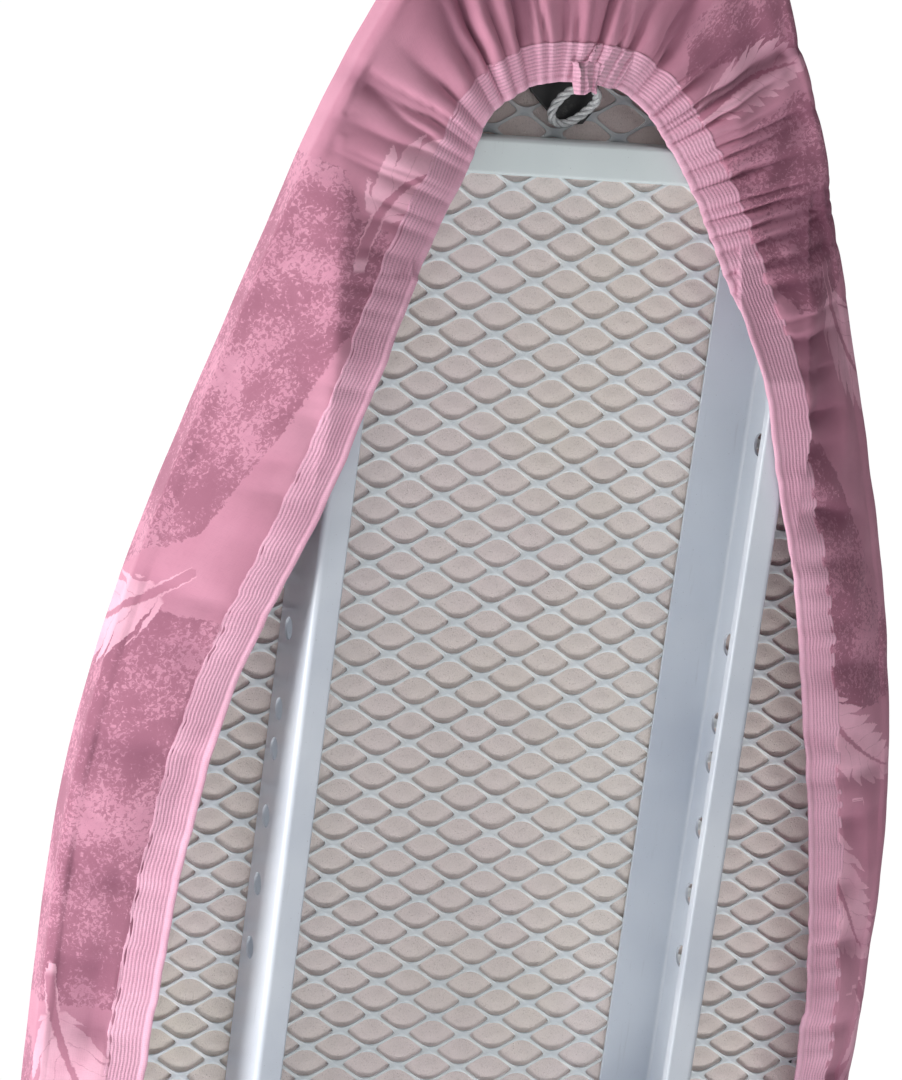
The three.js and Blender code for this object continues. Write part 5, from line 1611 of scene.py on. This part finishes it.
    # how deep in a pleat the cloth lies, 0 to 1
    cr = np.concatenate([np.clip((-Hh - 0.5) / 3.6, 0, 1) * smooth((r + 2) / 3), np.clip((-Hp - 0.5) / 3.6, 0, 1) * fade, np.zeros(Pt.shape[:2])], 0)
    R_ = V.shape[0]
    F = grid_faces(R_, NC, closed_c=True)
    fbf = fb.reshape(-1, 2)
    lf, patch = print_fields(fbf)
    f3 = np.concatenate([fbf, np.zeros((len(fbf), 1))], 1)
    ob = make("cloth_cover", V.reshape(-1, 3), F, COVERM, slot="cover_fabric", attrs={
        "fab": ("FLOAT_VECTOR", f3), "lf": ("FLOAT_VECTOR", lf), "patch": ("FLOAT", patch), "crease": ("FLOAT", cr.reshape(-1))})
    weld(ob, 2e-5)
    # outside faces out
    me = ob.data
    i = max(range(0, len(me.polygons), 37), key=lambda j: me.polygons[j].center.z)
    if me.polygons[i].normal.z < 0:
        me.flip_normals()
    m = ob.modifiers.new("th", "SOLIDIFY")
    m.thickness, m.offset = 0.55 * MM, -1
    apply_mods(ob)
    return ob


COVER = build_cover()
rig.ride(COVER, "deck")
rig.replaces(COVER, "cover")


# ------------------------------------------------------------------ elastic band
def build_elastic():
    nb = 46
    d = np.linspace(0.7, BAND, nb)
    rib_n = 9
    ph = (d - 3.0) / (BAND - 3.0)
    ribs = np.where(d > 2.6, 0.5 + 0.5 * np.cos(TAU * (ph * rib_n + 0.5)), 0.0)
    # groove: 1 at the bottom of each furrow between ribs, where the elastic material paints shade
    groove = np.where(d > 2.6, (0.5 - 0.5 * np.cos(TAU * (ph * rib_n + 0.5))) ** 2.2, 0.0) * step(2.4, 3.6, d)
    thick = np.where(d > 2.4, 0.62 + 0.19 * ribs, 0.62 + 0.55 * np.sin(np.pi * np.clip((d + 0.4) / 3.0, 0, 1)))
    edge_w = 1.0 * (vnoise(AEL / 7.0, 0, 41) - 0.5) + 0.6 * (vnoise(AEL / 2.6, 3, 42) - 0.5)
    inner_w = 0.5 * (vnoise(AEL / 6.0, 9, 43) - 0.5)
    side_amp = np.interp(np.abs(AEL), [0, 60, 130, 300, TOTE / 2], [0.2, 0.35, 0.8, 0.7, 0.7])
    right = step(10, 50, E2[:, 1])
    rows, kn, gr = [], [], []

    def row(dd, dz, g):
        w = np.clip(dd / BAND, 0, 1)
        D = dd + w * edge_w + (1 - w) * inner_w
        xy = E2 + FDIR * D[:, None]
        z = skirt_z(D[None], xy[None])[0]
        for _ in range(10):
            z = 0.25 * np.roll(z, 1) + 0.5 * z + 0.25 * np.roll(z, -1)
        h = pleat(AEL, np.full(NC, dd - BAND))
        roll = np.maximum(0.8 + 2.0 * right, 2.6 * step(170, 90, np.abs(AEL))) * np.clip(1 - dd / 15.0, 0, 1) ** 1.4
        se, ye = XN - xy[:, 0], np.abs(xy[:, 1])
        z = z + roll * np.where((se > 150) & (se < 420), 0.35, 1.0)
        wav = side_amp * (0.30 + 1.0 * right) * (0.55 * np.sin((AEL + 26 * vnoise(AEL / 34, 1, 44)) / 11.0 * TAU) * (0.35 + 0.65 * w)
                                                   + 1.1 * (vnoise(AEL / 13, dd / 30, 45) - 0.5))
        lim = ZM - 0.2 - np.interp(se, *TAPER) - 1.9
        wav = np.where((se > 100) & (se < 1060) & (ye > 60) & (ye < 90), np.maximum(wav, z - h - lim), wav)
        rows.append(np.stack([xy[:, 0], xy[:, 1], z - h - wav + dz], -1))
        kn.append(np.stack([AEL, np.full(NC, dd), np.zeros(NC)], -1))
        gr.append(np.full(NC, g))
    for dd, t, g in zip(d[::-1], thick[::-1], groove[::-1]):
        row(dd, -t, g)
    t0 = thick[0]
    for k in range(1, 6):
        a = k / 6 * math.pi
        row(0.7 - 0.75 * math.sin(a), -t0 * 0.5 * (1 + math.cos(a)) + 0.5 * (0.5 - 0.5 * math.cos(a)), 0.0)
    for dd in (0.7, 4, 8, 12, BAND):
        row(dd, 0.5, 0.3)
    R_ = np.array(rows)
    F = grid_faces(len(R_), NC, True, True)
    ob = make("elastic_band", R_.reshape(-1, 3), F, ELAST, slot="elastic_knit", attrs={
        "knit": ("FLOAT_VECTOR", np.array(kn).reshape(-1, 3)), "groove": ("FLOAT", np.array(gr).reshape(-1))})
    return fix_normals(ob)


ELASTIC = build_elastic()
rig.ride(ELASTIC, "deck")
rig.replaces(ELASTIC, "cover_elastic")


# ------------------------------------------------------------------ where the elastic's ends are sewn over one another
def band_point(a, d):
    """A point on the underside of the band: a along it from the front middle, d in from the free edge."""
    k = int(np.argmin(np.abs(AEL - a)))
    xy = E2[k] + FDIR[k] * d
    z = skirt_z(np.array([[d] * NC]), np.repeat(E2[None] + FDIR[None] * d, 1, 0))[0][k]
    return np.array([xy[0], xy[1], z])


def build_join():
    parts = []
    # (a0, a1 along the band; d0, d1 across it; how far it stands off; slant)
    for k, (a0, a1, d0, d1, off, sl) in enumerate(((0.5, 13.0, 0.2, 14.2, 0.9, 2.2), (-3.5, 5.0, -3.2, 8.0, 1.7, -2.6))):
        nu, nv = 46, 44
        C_, D_ = np.meshgrid(np.linspace(0, 1, nu), np.linspace(0, 1, nv), indexing="ij")
        base = np.array([[band_point(a, d) for d in np.linspace(d0, d1, nv)] for a in np.linspace(a0, a1, nu)])
        edge = 1 - np.clip(np.maximum(np.abs(2 * C_ - 1), np.abs(2 * D_ - 1)), 0, 1) ** 6
        px, py = a0 + (a1 - a0) * C_, d0 + (d1 - d0) * D_
        sh = sl * (D_ - 0.5) + 1.6 * (vnoise(py / 3.1, k * 3.0, 61) - 0.5) * (np.abs(2 * C_ - 1) ** 2)
        shd = 1.8 * (vnoise(px / 2.6, k * 5.0, 62) - 0.5) * (np.abs(2 * D_ - 1) ** 2)
        base[..., 1] += sh
        base[..., 0] += shd
        rib_ = 0.5 + 0.5 * np.cos(TAU * py / 1.35)
        bunch = k * (1 - np.clip(D_ * 1.2, 0, 1)) * (0.9 * np.abs(np.sin(px * 0.95 + 0.9 * vnoise(px / 4, py / 4, 66 + k))) + 0.4)
        h = edge ** 0.5 * (off * 0.55 + 0.22 * rib_ + 0.8 * bunch + 0.18 * (vnoise(px / 1.5, py / 1.5, 70 + k) - 0.5))
        A = base.copy()
        A[..., 2] -= 0.55 + h + pleat(px, np.minimum(py - BAND, 0)) * 0.5
        B = base.copy()
        B[..., 2] -= 0.15 + 0.2 * (1 - edge) + pleat(px, np.minimum(py - BAND, 0)) * 0.5
        n = nu * nv
        V = np.concatenate([A.reshape(-1, 3), B.reshape(-1, 3)])
        F = [grid_faces(nu, nv), grid_faces(nu, nv, off=n)[:, ::-1]]
        bd = np.concatenate([np.arange(nv), np.arange(1, nu) * nv + nv - 1, (nu - 1) * nv + np.arange(nv - 2, -1, -1), np.arange(nu - 2, 0, -1) * nv])
        b2 = np.roll(bd, -1)
        F.append(np.stack([bd, b2, b2 + n, bd + n], -1))
        kn = np.concatenate([np.stack([px, py, 0 * px], -1).reshape(-1, 3)] * 2)
        # groove: deepest between the ribs of the sewn flaps, where the elastic material paints shade
        gr = (1 - rib_) ** 1.5 * 0.8
        o = make("flap", V, np.concatenate(F), ELAST, slot="elastic_knit", attrs={
            "knit": ("FLOAT_VECTOR", kn), "groove": ("FLOAT", np.concatenate([gr.reshape(-1)] * 2))})
        parts.append(fix_normals(o))
    return join("elastic_join", parts)


JOINP = build_join()
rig.ride(JOINP, "deck")


# ------------------------------------------------------------------ black tab and clear cord
def build_tab():
    z0, z1 = ZM - 3.4, ZM - 1.4
    P = np.array([(-18.4, 83.8), (-16.6, 86.5), (-9.5, 93), (-5.9, 97.7), (3.6, 96.4), (8.8, 89.1), (7.0, 80), (4, 74), (-12, 73)], float)
    V = [(X(s), y, z) for z in (z0, z1) for y, s in P]
    n = len(P)
    F = [tuple(range(n)), tuple(range(2 * n - 1, n - 1, -1))] + [(i, (i + 1) % n, n + (i + 1) % n, n + i) for i in range(n)]
    ob = fix_normals(make("cord_anchor", V, F, BLACK, flat=True, slot="black_plastic"))
    bevel(ob, 0.45, 3, 30)
    weighted(ob, 40)
    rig.ride(ob, "deck")
    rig.replaces(ob, "cord_tab")


build_tab()


def build_cord():
    path = np.array([(-1.5, 79, 14.6), (-3.2, 82.2, 12.6), (-6.6, 85.2, 10.0), (-9.0, 89.0, 8.0), (-9.9, 92.8, 6.7), (-8.2, 95.8, 6.3), (-4.6, 96.2, 6.4),
                     (-0.6, 94.2, 6.8), (2.8, 90.9, 7.4), (4.7, 87.6, 9.1), (4.0, 84.6, 10.9), (1.6, 82.6, 12.4), (0.2, 79.4, 14.4)])
    C3 = catmull(path, 16)
    T = np.gradient(C3, axis=0)
    T /= np.linalg.norm(T, axis=1)[:, None]
    parts = []
    L = np.concatenate([[0], np.cumsum(np.linalg.norm(np.diff(C3, axis=0), axis=1))])
    side = np.cross(T, [0, 0, 1.0])
    side /= np.linalg.norm(side, axis=1)[:, None]
    up = np.cross(side, T)
    for k in range(3):
        ph = L / 9.5 * TAU + k * TAU / 3
        off = 0.85 * (side * np.cos(ph)[:, None] + up * np.sin(ph)[:, None])
        Q = C3 + off
        W3 = np.stack([X(Q[:, 1]), Q[:, 0], ZM - Q[:, 2]], -1)
        rad = 0.78 + 0.16 * (vnoise(L / 2.2, k * 5.0, 80) - 0.5)
        parts.append(tube_path("strand", W3, rad, CORDM, n=14, slot="clear_cord"))
    ob = join("cord_loop", parts)
    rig.ride(ob, "deck")
    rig.replaces(ob, "cover_cord")


build_cord()


# ------------------------------------------------------------------ floor, light and camera
def build_stage():
    zf = -0.0004
    me = bpy.data.meshes.new("floor")
    S = 7.0
    me.from_pydata([(-S, -S, zf), (S, -S, zf), (S, S, zf), (-S, S, zf)], [], [(0, 1, 2, 3)])
    fl = bpy.data.objects.new("floor", me)
    bpy.context.scene.collection.objects.link(fl)
    g = G("pale_floor")
    o = g.coord()
    col = g.mix(g.range(g.noise(o, 1.5, 3, 0.5), 0.3, 0.7), lin(240, 240, 240), lin(236, 236, 237))
    lp = g.node("ShaderNodeLightPath")
    col = g.mix(lp.outputs["Is Diffuse Ray"], col, lin(160, 160, 161))
    p = g.bsdf(col, 0.75)
    geo = g.node("ShaderNodeNewGeometry")
    tr = g.node("ShaderNodeBsdfTransparent")
    f = g.math("MAXIMUM", geo.outputs["Backfacing"], lp.outputs["Is Shadow Ray"])
    mx = g.node("ShaderNodeMixShader")
    g.put(mx.inputs[0], f)
    # seen directly the floor keeps an even pale tone, and still takes the shadows
    em = g.node("ShaderNodeEmission")
    g.put(em.inputs["Color"], lin(232, 232, 233))
    g.put(em.inputs["Strength"], g.math("MULTIPLY", lp.outputs["Is Camera Ray"], 0.60))
    ad = g.node("ShaderNodeAddShader")
    g.t.links.new(p.outputs[0], ad.inputs[0])
    g.t.links.new(em.outputs[0], ad.inputs[1])
    g.t.links.new(ad.outputs[0], mx.inputs[1])
    g.t.links.new(tr.outputs[0], mx.inputs[2])
    g.t.links.new(mx.outputs[0], g.out.inputs["Surface"])
    me.materials.append(g.m)
    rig.stage(fl)


build_stage()


def area(name, loc, target, size, power, color=(1, 1, 1), size_y=None):
    L_ = bpy.data.lights.new(name, "AREA")
    L_.shape = "RECTANGLE"
    L_.size, L_.size_y = size, size_y or size
    L_.energy, L_.color = power, color
    o = bpy.data.objects.new(name, L_)
    o.location = loc
    d = Vector(target) - Vector(loc)
    o.rotation_euler = d.to_track_quat("-Z", "Y").to_euler()
    o.visible_camera = False
    bpy.context.scene.collection.objects.link(o)
    return o


area("side_left", (0.25, -2.6, 0.66), (0.3, 0.0, 0.8), 1.7, 82, (1.0, 0.99, 0.98), 1.2)
area("low_tail", (-2.4, 0.0, -0.62), (0.3, 0.0, 0.8), 1.9, 66, (1.0, 1.0, 1.0), 1.1)
area("low_nose", (2.9, 0.0, -0.5), (0.3, 0.0, 0.8), 1.6, 9, (1, 1, 1), 0.8)
area("top", (0.2, -0.3, 3.1), (0, 0, 0.6), 2.8, 84, (1.0, 0.99, 0.98))

world = bpy.data.worlds.new("studio")
bpy.context.scene.world = world
world.use_nodes = True
wt = world.node_tree
wt.nodes.clear()
wo = wt.nodes.new("ShaderNodeOutputWorld")
b_cam, b_amb = wt.nodes.new("ShaderNodeBackground"), wt.nodes.new("ShaderNodeBackground")
b_cam.inputs[0].default_value = (1, 1, 1, 1)
b_cam.inputs[1].default_value = 1.02
b_amb.inputs[0].default_value = (0.96, 0.975, 1.0, 1)
b_amb.inputs[1].default_value = 0.035
wl, wm = wt.nodes.new("ShaderNodeLightPath"), wt.nodes.new("ShaderNodeMixShader")
wt.links.new(wl.outputs["Is Camera Ray"], wm.inputs[0])
wt.links.new(b_amb.outputs[0], wm.inputs[1])
wt.links.new(b_cam.outputs[0], wm.inputs[2])
wt.links.new(wm.outputs[0], wo.inputs["Surface"])
bpy.context.scene.view_settings.view_transform = "Standard"


def build_camera():
    right = Vector((0.08325370, 0.98364694, -0.15971071))
    up = Vector((0.96642522, -0.04060061, 0.25372008))
    back = Vector((0.24308662, -0.17547159, -0.95400137))
    cam = bpy.data.cameras.new("camera")
    cam.sensor_width, cam.sensor_fit = 36.0, "AUTO"
    cam.lens = 117.357
    cam.clip_start, cam.clip_end = 0.01, 100
    ob = bpy.data.objects.new("camera", cam)
    bpy.context.scene.collection.objects.link(ob)
    ob.matrix_world = Matrix.Translation((0.58971, -0.47641, -0.35418)) @ Matrix((right, up, back)).transposed().to_4x4()
    bpy.context.view_layer.update()
    # the lens is shifted only at this one place
    drv = cam.driver_add("shift_x").driver
    drv.type = "SCRIPTED"
    v = drv.variables.new()
    v.name = "x"
    v.type = "TRANSFORMS"
    v.targets[0].id = ob
    v.targets[0].transform_type = "LOC_X"
    drv.expression = "%.5f if abs(x - %.5f) < 0.0001 else 0.0" % (0.60278, 0.58971)
    bpy.context.scene.camera = ob


build_camera()

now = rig.bounds()
json.dump({"cad": CAD_BOX, "visual": [[float(c) for c in p] for p in now]}, open("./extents.json", "w"))
